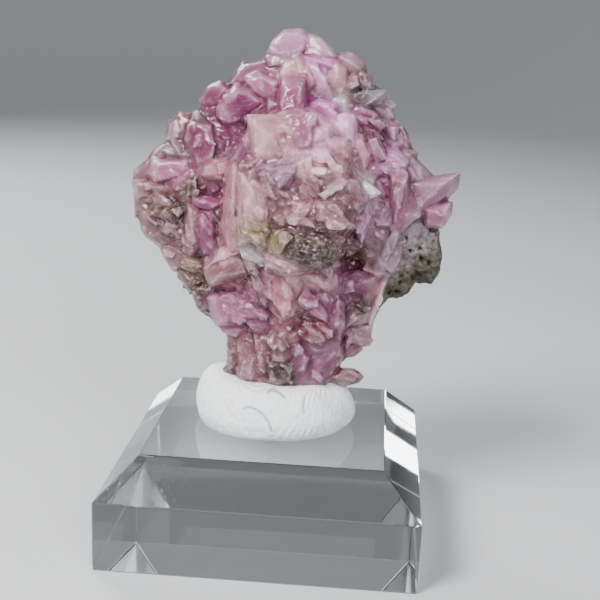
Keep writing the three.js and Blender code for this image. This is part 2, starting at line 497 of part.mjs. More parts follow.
// ---- mineral tack ----
const TACK_CENTRE = [-0.1, -0.9];
const TACK_ACROSS = 10.2; // half-width
const TACK_DEEP = 7.5; // half-depth
const TACK_HEIGHT = 6.3;
// shares of its reach and height, from the top round the bulging side to the sole
const TACK_PROFILE = [[0.4, 1], [0.66, 0.99], [0.84, 0.86], [0.96, 0.6], [1, 0.3], [0.92, 0]];
const TACK_SECTORS = 24;
const LOBE_LIFT = 1.7; // where it is drawn up round the foot's left side
const LOBE_ANGLE = 2.87;

function tackBody() {
  const floor = BLOCK_TOP + GAP / 2;
  const positions = [];
  const faces = [];
  for (const [reach, height] of TACK_PROFILE) {
    for (let sector = 0; sector < TACK_SECTORS; sector++) {
      const angle = (sector / TACK_SECTORS) * Math.PI * 2;
      const uneven = 1 + 0.03 * Math.sin(3 * angle + 1) + 0.02 * Math.sin(5 * angle);
      const lobe = LOBE_LIFT * Math.max(0, Math.cos(angle - LOBE_ANGLE)) ** 6;
      positions.push(
        TACK_CENTRE[0] + Math.cos(angle) * TACK_ACROSS * reach * uneven,
        TACK_CENTRE[1] + Math.sin(angle) * TACK_DEEP * reach * uneven,
        floor + (TACK_HEIGHT + lobe) * height,
      );
    }
  }
  const crown = positions.length / 3;
  positions.push(...TACK_CENTRE, floor + TACK_HEIGHT);
  const sole = crown + 1;
  positions.push(...TACK_CENTRE, floor);
  const rim = (TACK_PROFILE.length - 1) * TACK_SECTORS;
  for (let sector = 0; sector < TACK_SECTORS; sector++) {
    const next = (sector + 1) % TACK_SECTORS;
    faces.push(crown, sector, next);
    for (let inner = 0; inner < rim; inner += TACK_SECTORS) {
      const outer = inner + TACK_SECTORS;
      faces.push(inner + sector, outer + sector, outer + next);
      faces.push(inner + sector, outer + next, inner + next);
    }
    faces.push(sole, rim + next, rim + sector);
  }
  return solidFrom(positions, faces);
}

// The dent that the specimen's foot leaves: a hull round what lies below a height, a little larger.
function footDent(pieces, top) {
  const points = [];
  for (const piece of pieces) {
    const { vertProperties } = piece.trimByPlane([0, 0, -1], -top).getMesh();
    for (let k = 0; k < vertProperties.length; k += 3) {
      const point = new THREE.Vector3().fromArray(vertProperties, k);
      for (const side of [-1, 1]) {
        points.push(point.clone().add(new THREE.Vector3(side * GAP, 0, 0)));
        points.push(point.clone().add(new THREE.Vector3(0, side * GAP, 0)));
        points.push(point.clone().add(new THREE.Vector3(0, 0, side * GAP)));
      }
    }
  }
  return hullOf(points);
}

// ---- assembly ----
const FOOT_TOP = BLOCK_TOP + TACK_HEIGHT; // the foot is sunk in the tack up to here
const LOBE_TOP = FOOT_TOP + LOBE_LIFT + GAP;
const LOBE_SIDE = -3; // the lobe lies left of this x
const SHOULDER_SIDE = 5.5; // a crystal rests on the tack's right shoulder, right of this x
const leftOf = (solid, x) => solid.trimByPlane([-1, 0, 0], -x);
const rightOf = (solid, x) => solid.trimByPlane([1, 0, 0], x);

const rockSolid = mainBody(rock(0));
const crustSolid = mainBody(crust().subtract(rock(GAP)));
const dents = wasm.Manifold.union([
  footDent([rockSolid, leftOf(crustSolid, SHOULDER_SIDE)], FOOT_TOP),
  footDent([rightOf(crustSolid, SHOULDER_SIDE)], FOOT_TOP),
  footDent([leftOf(rockSolid, LOBE_SIDE), leftOf(crustSolid, LOBE_SIDE)], LOBE_TOP),
]);
const tackSolid = mainBody(tackBody().subtract(dents));

const FINISHES = {
  acrylic_block: { color: 0xdfe6ea, roughness: 0.05, opacity: 0.35, transparent: true },
  mineral_tack: { color: 0xe9eff2, roughness: 0.6 },
  host_rock: { color: 0x8d8a78, roughness: 0.85 },
  calcite_crystals: { color: 0xb9809c, roughness: 0.25 },
};

const specimen = new THREE.Group();
const pieces = {
  acrylic_block: displayBlock(),
  mineral_tack: tackSolid,
  host_rock: rockSolid,
  calcite_crystals: crustSolid,
};
for (const [name, solid] of Object.entries(pieces)) {
  const material = new THREE.MeshStandardMaterial({ metalness: 0, ...FINISHES[name] });
  const mesh = new THREE.Mesh(geometryOf(solid), material);
  mesh.name = name;
  specimen.add(mesh);
}

export default specimen;
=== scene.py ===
import math

import bmesh
import bpy
import numpy as np
from mathutils import Matrix, Vector, bvhtree, kdtree


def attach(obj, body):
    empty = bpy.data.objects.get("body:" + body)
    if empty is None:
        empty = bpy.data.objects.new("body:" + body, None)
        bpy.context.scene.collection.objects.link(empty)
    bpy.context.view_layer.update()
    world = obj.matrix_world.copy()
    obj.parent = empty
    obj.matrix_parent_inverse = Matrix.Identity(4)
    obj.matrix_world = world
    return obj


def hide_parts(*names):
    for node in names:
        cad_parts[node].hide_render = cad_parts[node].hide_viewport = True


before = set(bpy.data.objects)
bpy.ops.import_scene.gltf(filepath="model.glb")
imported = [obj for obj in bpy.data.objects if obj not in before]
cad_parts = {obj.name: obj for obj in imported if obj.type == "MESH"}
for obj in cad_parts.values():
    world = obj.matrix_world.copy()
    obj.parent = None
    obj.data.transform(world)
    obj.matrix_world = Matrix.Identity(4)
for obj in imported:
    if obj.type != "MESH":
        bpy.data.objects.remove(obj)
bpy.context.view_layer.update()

# ==== acrylic block ====
# A square display block, sawn from clear cast acrylic and polished, with its four upper edges
# bevelled. The polishing wheel has just broken its edges, and the bevels keep faint saw lines.
# It stands on its flat underside and carries the specimen on a lump of tack.
MM = 0.001
BLOCK_HALF = 19.05  # millimetres, as all sizes of this object's pieces are
BLOCK_WALL = 8.5
BLOCK_TOP = 13.0
BEVEL_RUN = 4.6
BROKEN_EDGE = 0.16


class Signal:
    """A value on its way through a finish; sums on it add Math nodes."""

    def __init__(self, finish, socket):
        self.finish = finish
        self.socket = socket

    def sum_of(self, operation, first, second):
        return self.finish.add("ShaderNodeMath", {"operation": operation}, {0: first, 1: second})

    def __add__(self, other):
        return self.sum_of("ADD", self, other)

    def __sub__(self, other):
        return self.sum_of("SUBTRACT", self, other)

    def __rsub__(self, other):
        return self.sum_of("SUBTRACT", other, self)

    def __mul__(self, other):
        return self.sum_of("MULTIPLY", self, other)

    def greater(self, other):
        return self.sum_of("MAXIMUM", self, other)

    __radd__ = __add__
    __rmul__ = __mul__


class Finish:
    """A material and the nodes that make it, with its patterns laid out in millimetres."""

    def __init__(self, name):
        self.material = bpy.data.materials.new(name)
        self.material.use_nodes = True
        self.tree = self.material.node_tree
        self.tree.nodes.clear()
        place = self.add("ShaderNodeTexCoord", {}, {}, output="Object")
        self.place = self.add("ShaderNodeVectorMath", {"operation": "SCALE"}, {0: place, "Scale": 1 / MM})

    def add(self, kind, settings, inputs, output=0):
        node = self.tree.nodes.new(kind)
        for name, value in settings.items():
            setattr(node, name, value)
        for name, value in inputs.items():
            if isinstance(value, Signal):
                self.tree.links.new(value.socket, node.inputs[name])
            else:
                node.inputs[name].default_value = value
        return Signal(self, node.outputs[output])

    def vector(self, operation, first, second, output=0):
        settings = {"operation": operation}
        return self.add("ShaderNodeVectorMath", settings, {0: first, 1: second}, output=output)

    def stretched(self, x, y, z):
        return self.vector("MULTIPLY", self.place, (x, y, z))

    def stored(self, name, output="Fac"):
        """What the mesh keeps under a name for each of its points or faces."""
        return self.add("ShaderNodeAttribute", {"attribute_name": name}, {}, output=output)

    def noise(self, size, detail=3.0, roughness=0.55, distortion=0.0, where=None):
        inputs = {"Vector": where or self.place, "Scale": 1 / size, "Detail": detail,
                  "Roughness": roughness, "Distortion": distortion}
        return self.add("ShaderNodeTexNoise", {}, inputs)

    def cells(self, size, feature="F1", where=None, output="Distance"):
        inputs = {"Vector": where or self.place, "Scale": 1 / size}
        return self.add("ShaderNodeTexVoronoi", {"feature": feature}, inputs, output=output)

    def band(self, value, low, high, at_low=0.0, at_high=1.0):
        smooth = {"interpolation_type": "SMOOTHSTEP"}
        return self.add("ShaderNodeMapRange", smooth, {0: value, 1: low, 2: high, 3: at_low, 4: at_high})

    def blend(self, share, first, second, how="MIX"):
        settings = {"data_type": "RGBA", "blend_type": how}
        return self.add("ShaderNodeMix", settings, {0: share, 6: first, 7: second}, output=2)

    def stained(self, colour, stain):
        """A colour as it looks through a stain."""
        return self.blend(1.0, colour, stain, how="MULTIPLY")

    def axis(self, name):
        return self.add("ShaderNodeSeparateXYZ", {}, {0: self.place}, output=name)

    def bump(self, height, strength, distance):
        inputs = {"Height": height, "Strength": strength, "Distance": distance * MM}
        return self.add("ShaderNodeBump", {}, inputs)

    def close(self, shader, volume=None):
        end = self.tree.nodes.new("ShaderNodeOutputMaterial")
        self.tree.links.new(shader.socket, end.inputs["Surface"])
        if volume:
            self.tree.links.new(volume.socket, end.inputs["Volume"])
        return self.material


def tone(code):
    """The linear colour of a paint-chart code such as #C08CA2."""
    shares = [int(code[k:k + 2], 16) / 255 for k in (1, 3, 5)]
    linear = [s / 12.92 if s <= 0.04045 else ((s + 0.055) / 1.055) ** 2.4 for s in shares]
    return (*linear, 1.0)


def acrylic_finish():
    finish = Finish("clear_acrylic")
    height = finish.axis("Z")
    on_bevel = finish.band(height, BLOCK_WALL, BLOCK_WALL + 0.2)
    on_bevel = on_bevel * (1 - finish.band(height, BLOCK_TOP - 0.3, BLOCK_TOP - 0.1))
    saw = finish.noise(0.5, detail=4, where=finish.stretched(1, 1, 0.04))
    front_left = finish.band(finish.axis("X"), -6, -11) * finish.band(finish.axis("Y"), -12, -14)
    lines = on_bevel * front_left * finish.band(saw, 0.5, 0.66)
    wipe = finish.noise(2.2, detail=3, where=finish.stretched(0.3, 1, 1))
    handled = finish.band(wipe, 0.5, 0.75)
    clear = finish.add("ShaderNodeBsdfPrincipled", {}, {
        "Base Color": (1, 1, 1, 1),
        "Roughness": lines * 0.16 + handled * 0.02 + on_bevel * 0.05 + 0.012,
        "IOR": 1.49,
        "Transmission Weight": 1.0,
        "Normal": finish.bump(lines, 0.2, 0.02),
    })
    depth = finish.add("ShaderNodeVolumeAbsorption", {}, {"Color": tone("#DDEBEE"), "Density": 6.0})
    return finish.close(clear, depth)


def set_piece(name, points, faces, material):
    """A piece from points in millimetres, lying where it belongs."""
    mesh = bpy.data.meshes.new(name)
    mesh.from_pydata((np.asarray(points, float) * MM).tolist(), [], faces)
    mesh.materials.append(material)
    piece = bpy.data.objects.new(name, mesh)
    bpy.context.scene.collection.objects.link(piece)
    return piece


def block_shape():
    """The block's hull with every edge broken."""
    top = BLOCK_HALF - BEVEL_RUN
    form = bmesh.new()
    for x in (-1, 1):
        for y in (-1, 1):
            for half, z in ((BLOCK_HALF, 0), (BLOCK_HALF, BLOCK_WALL), (top, BLOCK_TOP)):
                form.verts.new((x * half, y * half, z))
    bmesh.ops.convex_hull(form, input=form.verts[:])
    bmesh.ops.dissolve_limit(form, angle_limit=0.01, verts=form.verts[:], edges=form.edges[:])
    bmesh.ops.bevel(form, geom=form.edges[:], offset=BROKEN_EDGE, segments=2, profile=0.5,
                    affect="EDGES")
    bmesh.ops.recalc_face_normals(form, faces=form.faces[:])
    form.verts.index_update()
    points = [tuple(v.co) for v in form.verts]
    faces = [[v.index for v in face.verts] for face in form.faces]
    form.free()
    return points, faces


block = set_piece("clear_block", *block_shape(), acrylic_finish())
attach(block, "root")
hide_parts("acrylic_block")

# ==== mineral tack ====
# A lump of soft white putty, kneaded into a flattened oval by hand, stuck to the block and pressed
# up round the specimen's foot. It keeps the creases of the kneading and traces of fingerprints.
TACK_CENTRE = (-0.1, -0.9)
TACK_ACROSS = 10.2
TACK_DEEP = 7.5
TACK_HEIGHT = 6.3
TACK_FLOOR = BLOCK_TOP + 0.02
TACK_SECTORS = 360
TACK_PROFILE = (  # share of the reach and of the height, from the crown to the sole
    (0.0, 0.93), (0.2, 0.95), (0.42, 1.0), (0.66, 0.985), (0.8, 0.9), (0.9, 0.76), (0.965, 0.58),
    (1.0, 0.36), (0.99, 0.2), (0.95, 0.07), (0.9, 0.0))
TACK_STEPS = 120
LOBE_LIFT = 1.9  # where it is drawn up round the foot's left side
LOBE_ANGLE = 2.87
CREASES = (  # x and z of the points along each, on the front
    ((-2.9, 17.0), (-2.4, 17.3), (-1.3, 17.05), (-0.4, 16.4), (0.3, 15.5), (0.6, 14.5)),
    ((-0.2, 18.9), (0.3, 19.1), (1.1, 18.9), (1.9, 18.5)),
    ((4.3, 18.5), (4.25, 17.6), (4.4, 16.7)),
)
CREASE_DEPTH = 0.22
CREASE_HALF = 0.14  # half-width of the furrow
LIP_HEIGHT = 0.06
LIP_OFFSET = 0.4  # from the furrow's middle to the lip's
LIP_HALF = 0.2
CREASED_BEFORE = TACK_CENTRE[1] - 3  # only the front is creased
CREASE_STEPS = 60
FINE_STEPS = 20  # between two stops of a smooth path, before it is evened out


def smooth_path(stops, steps):
    """Evenly spaced points on a smooth curve through the stops."""
    stops = np.asarray(stops, float)
    ends = np.vstack([2 * stops[0] - stops[1], stops, 2 * stops[-1] - stops[-2]])
    fine = []
    for k in range(len(stops) - 1):
        a, b, c, d = ends[k:k + 4]
        for t in np.linspace(0, 1, FINE_STEPS, endpoint=False):
            fine.append(0.5 * (2 * b + (c - a) * t + (2 * a - 5 * b + 4 * c - d) * t ** 2
                               + (3 * b - a - 3 * c + d) * t ** 3))
    fine = np.array(fine + [stops[-1]])
    along = np.concatenate([[0], np.cumsum(np.linalg.norm(np.diff(fine, axis=0), axis=1))])
    even = np.linspace(0, along[-1], steps)
    return np.column_stack([np.interp(even, along, fine[:, k]) for k in range(fine.shape[1])])


def tack_shape():
    """The kneaded lump's points and faces, in rings from its crown to its flat sole."""
    profile = smooth_path(TACK_PROFILE, TACK_STEPS)
    angle = np.arange(TACK_SECTORS) * 2 * math.pi / TACK_SECTORS
    reach, height = (profile[:, k][:, None] for k in (0, 1))
    uneven = 1 + 0.03 * np.sin(3 * angle + 1) + 0.02 * np.sin(5 * angle)
    uneven = uneven + 0.008 * np.sin(9 * angle + height * 4) * reach
    lobe = LOBE_LIFT * np.maximum(0, np.cos(angle - LOBE_ANGLE)) ** 6
    sag = 0.35 * np.sin(2 * angle + 0.6) * reach ** 2 * height
    x = TACK_CENTRE[0] + np.cos(angle) * TACK_ACROSS * reach * uneven
    y = TACK_CENTRE[1] + np.sin(angle) * TACK_DEEP * reach * uneven
    z = TACK_FLOOR + (TACK_HEIGHT + lobe * reach ** 2 + sag) * height
    points = np.column_stack([x.ravel(), y.ravel(), z.ravel()])
    faces = []
    for step in range(TACK_STEPS - 1):
        for sector in range(TACK_SECTORS):
            following = (sector + 1) % TACK_SECTORS
            inner, outer = step * TACK_SECTORS, (step + 1) * TACK_SECTORS
            faces.append([inner + sector, outer + sector, outer + following, inner + following])
    sole = (TACK_STEPS - 1) * TACK_SECTORS
    faces.append([sole + k for k in reversed(range(TACK_SECTORS))])
    return points, faces


def press_creases(points):
    """Each crease is a thin furrow with a slightly raised lip; returns how deep in one a point is."""
    front = points[:, 1] < CREASED_BEFORE
    seen = points[:, [0, 2]]
    creased = np.zeros(len(points))
    for path in CREASES:
        line = smooth_path(path, CREASE_STEPS)
        gap = np.sqrt(((seen[:, None, :] - line[None, :, :]) ** 2).sum(2)).min(1)
        furrow = np.where(front, np.exp(-(gap / CREASE_HALF) ** 2), 0)
        lip = np.where(front, np.exp(-((gap - LIP_OFFSET) / LIP_HALF) ** 2), 0)
        points[:, 1] += CREASE_DEPTH * furrow - LIP_HEIGHT * lip
        creased = np.maximum(creased, furrow)
    return creased


def tack_finish():
    finish = Finish("white_tack")
    ridges = finish.add("ShaderNodeTexWave", {"wave_type": "RINGS", "rings_direction": "SPHERICAL"}, {
        "Vector": finish.add("ShaderNodeMapping", {}, {"Vector": finish.place, "Location": (1.5, 4, -17)}),
        "Scale": 0.62, "Distortion": 3.0, "Detail": 1.0, "Detail Scale": 0.3}, output="Fac")
    printed = finish.band(finish.noise(3.4, detail=1), 0.47, 0.6)
    creased = finish.stored("creased")
    kneaded = finish.noise(2.2, detail=4, roughness=0.6)
    dimples = finish.noise(0.55, detail=3, roughness=0.6)
    pulled = finish.noise(0.4, detail=2, where=finish.stretched(1, 1, 0.12))
    grain = finish.noise(0.16, detail=2)
    specks = finish.band(finish.noise(0.5, detail=2), 0.68, 0.74)
    colour = finish.blend(finish.band(kneaded, 0.3, 0.7), tone("#EFF5FA"), tone("#FAFDFF"))
    # Painted shade: the colour darkens to grey down in the creases' furrows.
    colour = finish.blend(creased * 0.85, colour, tone("#87929B"))
    # Painted shade: the colour darkens a little in the dimples' hollows.
    colour = finish.blend(finish.band(dimples, 0.55, 0.35, 0.0, 0.25), colour, tone("#BCC6CE"))
    colour = finish.blend(specks * 0.35, colour, tone("#BFC4C8"))
    relief = ridges * printed * 0.35 + kneaded * 0.8 + grain * 0.12 + dimples * 0.7 + pulled * 0.3
    putty = finish.add("ShaderNodeBsdfPrincipled", {}, {
        "Base Color": colour,
        "Roughness": 0.42 + 0.2 * grain,
        "Subsurface Weight": 0.35,
        "Subsurface Radius": (1.0, 0.9, 0.8),
        "Subsurface Scale": 0.8 * MM,
        "Specular IOR Level": 0.35,
        "Normal": finish.bump(relief, 1.0, 0.26),
    })
    return finish.close(putty)


def store(mesh, name, values, kind="FLOAT", domain="POINT"):
    """Keeps a value for each of a mesh's points or faces, for its finish to read."""
    field = {"FLOAT": "value", "FLOAT_COLOR": "color", "FLOAT_VECTOR": "vector"}[kind]
    layer = mesh.attributes.new(name, kind, domain)
    layer.data.foreach_set(field, np.asarray(values, np.float32).ravel())


tack_points, tack_faces = tack_shape()
creased = press_creases(tack_points)
tack = set_piece("tack_lump", tack_points, tack_faces, tack_finish())
store(tack.data, "creased", creased)
form = bmesh.new()
form.from_mesh(tack.data)
bmesh.ops.remove_doubles(form, verts=form.verts[:], dist=0.001 * MM)
bmesh.ops.recalc_face_normals(form, faces=form.faces[:])
form.to_mesh(tack.data)
form.free()
tack.data.shade_smooth()
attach(tack, "root")
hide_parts("mineral_tack")

# ==== host rock ====
# The broken piece of grey-green matrix that the crystals grew on. It shows at the right edge, in
# a band down the lower left, and over the whole domed back: granular, lumpy, and pitted with
# small vugs that are stained dark brown inside.
ROCK_GRAIN = 0.3  # size of the faces it is rebuilt in
BLOCK_DEPTH = 1.1  # how far broken blocks, single grains and pits shift its surface
GRAIN_DEPTH = 0.8
PIT_DEPTH = 1.1
LUMP_CORNERS = 26

# The display face is laid out as seen from one standing point: (x, z) names where a feature shows
# on the plane y = FACE_Y, and a depth says how far back it really lies.
SEEN_FROM = (12.0, -134.0, 64.7)
FACE_Y = -6.0
MIDDLE = (1.5, 41.0)  # of the outlines' rings
FACE_LEVEL = 42.0  # the height at which the diamond-shaped face is widest
FACE_ACROSS = 19.0  # the face's half-width, and its heights above and below that level
FACE_ABOVE = 20.0
FACE_BELOW = 29.0
ROCK_OUTLINE = (
    (1, 58.6), (5, 58.2), (8.8, 57.6), (12, 53.6), (14.4, 49.8), (16.6, 46), (18.4, 42.6),
    (19.4, 39.6), (19.6, 36), (18, 34.3), (15.8, 33.6), (14, 31.4), (12.3, 28.4), (10.2, 25.6),
    (8.6, 22.6), (7.2, 19.6), (3.2, 18.4), (-1.4, 18.4), (-3.8, 19.8), (-4.8, 22.4),
    (-5.5, 25.6), (-8.2, 28.4), (-10.4, 31.6), (-12.6, 34.8), (-15, 37.6), (-16.2, 41),
    (-16.6, 44), (-14.8, 46.4), (-12.2, 48.4), (-9.8, 51), (-7.4, 53.4), (-4.2, 56.6))
LUMPS = (  # seen x and z, depth, and half-sizes across, deep and tall
    (16.4, 37.2, 0.8, 3.6, 3.4, 3.6), (17.4, 35.6, 2.6, 2.6, 3, 2.2), (14.4, 34, 2.4, 2.6, 2.6, 3),
    (11.6, 47.6, 4.6, 4.6, 3.6, 5.6), (3.4, 51, 5.6, 6.4, 3.4, 6.4), (-6.6, 47, 4.8, 6.6, 3.6, 5.4),
    (-11, 41, 3.6, 4.6, 3, 4.8), (2, 42.6, 7, 5.6, 3.2, 5), (-3.6, 37, 5.8, 6, 3.6, 6),
    (8.6, 37.6, 5.6, 6, 3.6, 6.6), (3.4, 30, 4.6, 5.6, 3, 6), (-6.6, 31.6, 3, 3.4, 2.6, 4))
VUGS = (  # seen x and z of each pit near the display face, and its radius
    (17.4, 34.4, 0.55), (18.1, 34.7, 0.4), (16.6, 33.9, 0.5), (17.6, 36.4, 0.45), (18.4, 36.1, 0.3),
    (15.4, 33.3, 0.5), (14.7, 32.3, 0.45), (13.9, 32.1, 0.4), (13.0, 30.5, 0.4), (12.4, 29.4, 0.35),
    (15.0, 34.3, 0.25), (15.3, 39.0, 0.25), (16.0, 37.4, 0.2), (17.2, 37.8, 0.25),
    (-9.2, 31.2, 0.6), (-6.4, 27.6, 0.5), (-13.2, 36.2, 0.4))
STAIN_FOOT = (18.4, 34.3)  # seen x and z where the stained lower edge starts, and its slope
STAIN_SLOPE = 0.97
GROWN_FOOT = (17.5, 39.5)  # the same for the edge that thin calcite has begun to grow over
GROWN_SLOPE = 1.1


def jitter(i, k):
    """A fixed, repeatable number from 0 to 1 for thing i and use k."""
    wave = math.sin(i * 12.9898 + k * 78.233) * 43758.5453
    return wave - math.floor(wave)


def spread(i, k, amount):
    """The same, from -amount to amount."""
    return (jitter(i, k) * 2 - 1) * amount


def place(x, z, depth):
    """The real points at a depth that are seen at (x, z)."""
    x, z, depth = np.broadcast_arrays(*(np.asarray(v, float) for v in (x, z, depth)))
    reach = (depth - SEEN_FROM[1]) / (FACE_Y - SEEN_FROM[1])
    return np.stack([SEEN_FROM[0] + (x - SEEN_FROM[0]) * reach, depth,
                     SEEN_FROM[2] + (z - SEEN_FROM[2]) * reach], axis=-1)


def edge_share(x, z):
    """0 at the middle of the face and about 1 at its diamond-shaped edge."""
    tall = np.where(z > FACE_LEVEL, FACE_ABOVE, FACE_BELOW)
    return np.abs(x - MIDDLE[0]) / FACE_ACROSS + np.abs(z - FACE_LEVEL) / tall


def swelling(x, z, centre_x, centre_z, across, tall):
    """1 at a centre, falling off smoothly over a reach across and a reach up and down."""
    return np.exp(-((x - centre_x) / across) ** 2 - ((z - centre_z) / tall) ** 2)


def seam(x, z):
    """Depth of the seam between crust and rock, further forward where the rock shows."""
    return 0.6 - 2.6 * swelling(x, z, 17, 37, 4.5, 5) + 0.5 * np.sin(x * 0.5) * np.cos(z * 0.4)


def rock_back(x, z):
    """Depth of the rock's domed and broken back, tucked in towards the foot."""
    share = np.minimum(1, edge_share(x, z))
    broken = 0.5 * np.sin(x * 0.5 + z * 0.3) + 0.4 * np.cos(z * 0.5 - x * 0.3)
    tuck = 0.5 * np.maximum(0, 24 - z)
    return 2.6 + 5.6 * np.sqrt(1 - share ** 3) + broken - tuck


def pillow(outline, front, back, rings=9, corners=128):
    """A closed pillow between two depth functions, in rings from the middle to the outline."""
    closed = np.asarray([*outline, outline[0]], float)
    walk = np.concatenate([[0], np.cumsum(np.linalg.norm(np.diff(closed, axis=0), axis=1))])
    stops = np.linspace(0, walk[-1], corners, endpoint=False)
    rim = np.column_stack([np.interp(stops, walk, closed[:, k]) for k in (0, 1)])
    points, faces = [], []
    sheets = []
    for depth in (front, back):
        first = len(points)
        for ring in range(1, rings + 1):
            seen = np.array(MIDDLE) + (rim - MIDDLE) * ring / rings
            points.extend(place(seen[:, 0], seen[:, 1], depth(seen[:, 0], seen[:, 1])))
        points.append(place(*MIDDLE, depth(*np.array(MIDDLE))))
        sheets.append((first, len(points) - 1))
    for (first, centre), turned in zip(sheets, (True, False)):
        for k in range(corners):
            following = (k + 1) % corners
            corner_faces = [[centre, first + k, first + following]]
            for inner in range(first, centre - corners, corners):
                outer = inner + corners
                corner_faces.append([inner + k, outer + k, outer + following, inner + following])
            faces.extend(face[::-1] if turned else face for face in corner_faces)
    front_rim, back_rim = (centre - corners for _, centre in sheets)
    for k in range(corners):
        following = (k + 1) % corners
        faces.append([front_rim + k, front_rim + following, back_rim + following, back_rim + k])
    return np.array(points), faces


def hull(points):
    """The points and faces of some points' hull, with its flat faces whole."""
    form = bmesh.new()
    for point in points:
        form.verts.new(point)
    bmesh.ops.convex_hull(form, input=form.verts[:])
    loose = [v for v in form.verts if not v.link_faces]
    bmesh.ops.delete(form, geom=loose, context="VERTS")
    bmesh.ops.dissolve_limit(form, angle_limit=0.002, verts=form.verts[:], edges=form.edges[:])
    bmesh.ops.recalc_face_normals(form, faces=form.faces[:])
    form.verts.index_update()
    kept = np.array([tuple(v.co) for v in form.verts])
    faces = [[v.index for v in face.verts] for face in form.faces]
    form.free()
    return kept, faces


def lump(sizes, i):
    """A rounded stone with corners spread evenly over it in a spiral."""
    x, z, depth, *half = sizes
    k = np.arange(LUMP_CORNERS)
    rise = 1 - 2 * (k + 0.5) / LUMP_CORNERS
    angle = k * math.pi * (3 - math.sqrt(5)) + i
    size = np.array([0.86 + 0.2 * jitter(i + 50, corner) for corner in k])
    wide = np.sqrt(1 - rise ** 2) * size
    shape = np.column_stack([wide * np.cos(angle), wide * np.sin(angle), rise * size])
    return hull(place(x, z, depth) + shape * half)


class Recipe:
    """A Geometry Nodes tree with named inputs, for what repeats or follows a surface."""

    KINDS = {"FLOAT": "NodeSocketFloat", "INT": "NodeSocketInt", "OBJECT": "NodeSocketObject",
             "MATERIAL": "NodeSocketMaterial"}

    def __init__(self, name, **inputs):
        self.tree = bpy.data.node_groups.new(name, "GeometryNodeTree")
        panel = self.tree.interface
        panel.new_socket("Geometry", in_out="INPUT", socket_type="NodeSocketGeometry")
        self.sockets = {}
        for label, kind in inputs.items():
            made = panel.new_socket(label, in_out="INPUT", socket_type=self.KINDS[kind])
            self.sockets[label] = made.identifier
        panel.new_socket("Geometry", in_out="OUTPUT", socket_type="NodeSocketGeometry")
        start = self.tree.nodes.new("NodeGroupInput")
        self.given = {socket.name: socket for socket in start.outputs if socket.name}

    def add(self, kind, settings, inputs, output=0):
        node = self.tree.nodes.new(kind)
        for name, value in settings.items():
            setattr(node, name, value)
        for name, value in inputs.items():
            for one in value if isinstance(value, list) else [value]:
                if isinstance(one, bpy.types.NodeSocket):
                    self.tree.links.new(one, node.inputs[name])
                else:
                    node.inputs[name].default_value = one
        return node.outputs[output]

    def sum_of(self, operation, first, second):
        return self.add("ShaderNodeMath", {"operation": operation}, {0: first, 1: second})

    def parts(self):
        """The given solids, taken apart again by their numbers."""
        number = self.add("GeometryNodeInputNamedAttribute", {"data_type": "INT"}, {"Name": "part"})
        inputs = {"Geometry": self.given["Geometry"], "Group ID": number}
        return self.add("GeometryNodeSplitToInstances", {"domain": "POINT"}, inputs)

    def union(self, solids):
        settings = {"operation": "UNION", "solver": "MANIFOLD"}
        return self.add("GeometryNodeMeshBoolean", settings, {1: solids})

    def apply(self, piece, result, **values):
        """Works the recipe out on a piece, whose mesh becomes the plain result."""
        end = self.tree.nodes.new("NodeGroupOutput")
        self.tree.links.new(result, end.inputs[0])
        modifier = piece.modifiers.new(self.tree.name, "NODES")
        modifier.node_group = self.tree
        for label, value in values.items():
            modifier[self.sockets[label]] = value
        settle(piece)


def rebuild(piece, grain):
    """Makes a piece anew from one skin of even faces."""
    skin = piece.modifiers.new("rebuild", "REMESH")
    skin.mode = "VOXEL"
    skin.voxel_size = grain * MM


def settle(piece):
    """Replaces a piece's mesh by what its modifiers make of it."""
    bpy.context.view_layer.update()
    shown = piece.evaluated_get(bpy.context.evaluated_depsgraph_get())
    mesh = bpy.data.meshes.new_from_object(shown)
    piece.modifiers.clear()
    piece.data = mesh


def joined(name, solids, material):
    """One piece of many closed solids, each with its number in the attribute part."""
    points, faces, parts = [], [], []
    for number, (own_points, own_faces) in enumerate(solids):
        first = sum(len(own) for own in points)
        points.append(own_points)
        parts.extend([number] * len(own_points))
        faces.extend([corner + first for corner in face] for face in own_faces)
    piece = set_piece(name, np.vstack(points), faces, material)
    part = piece.data.attributes.new("part", "INT", "POINT")
    part.data.foreach_set("value", parts)
    return piece


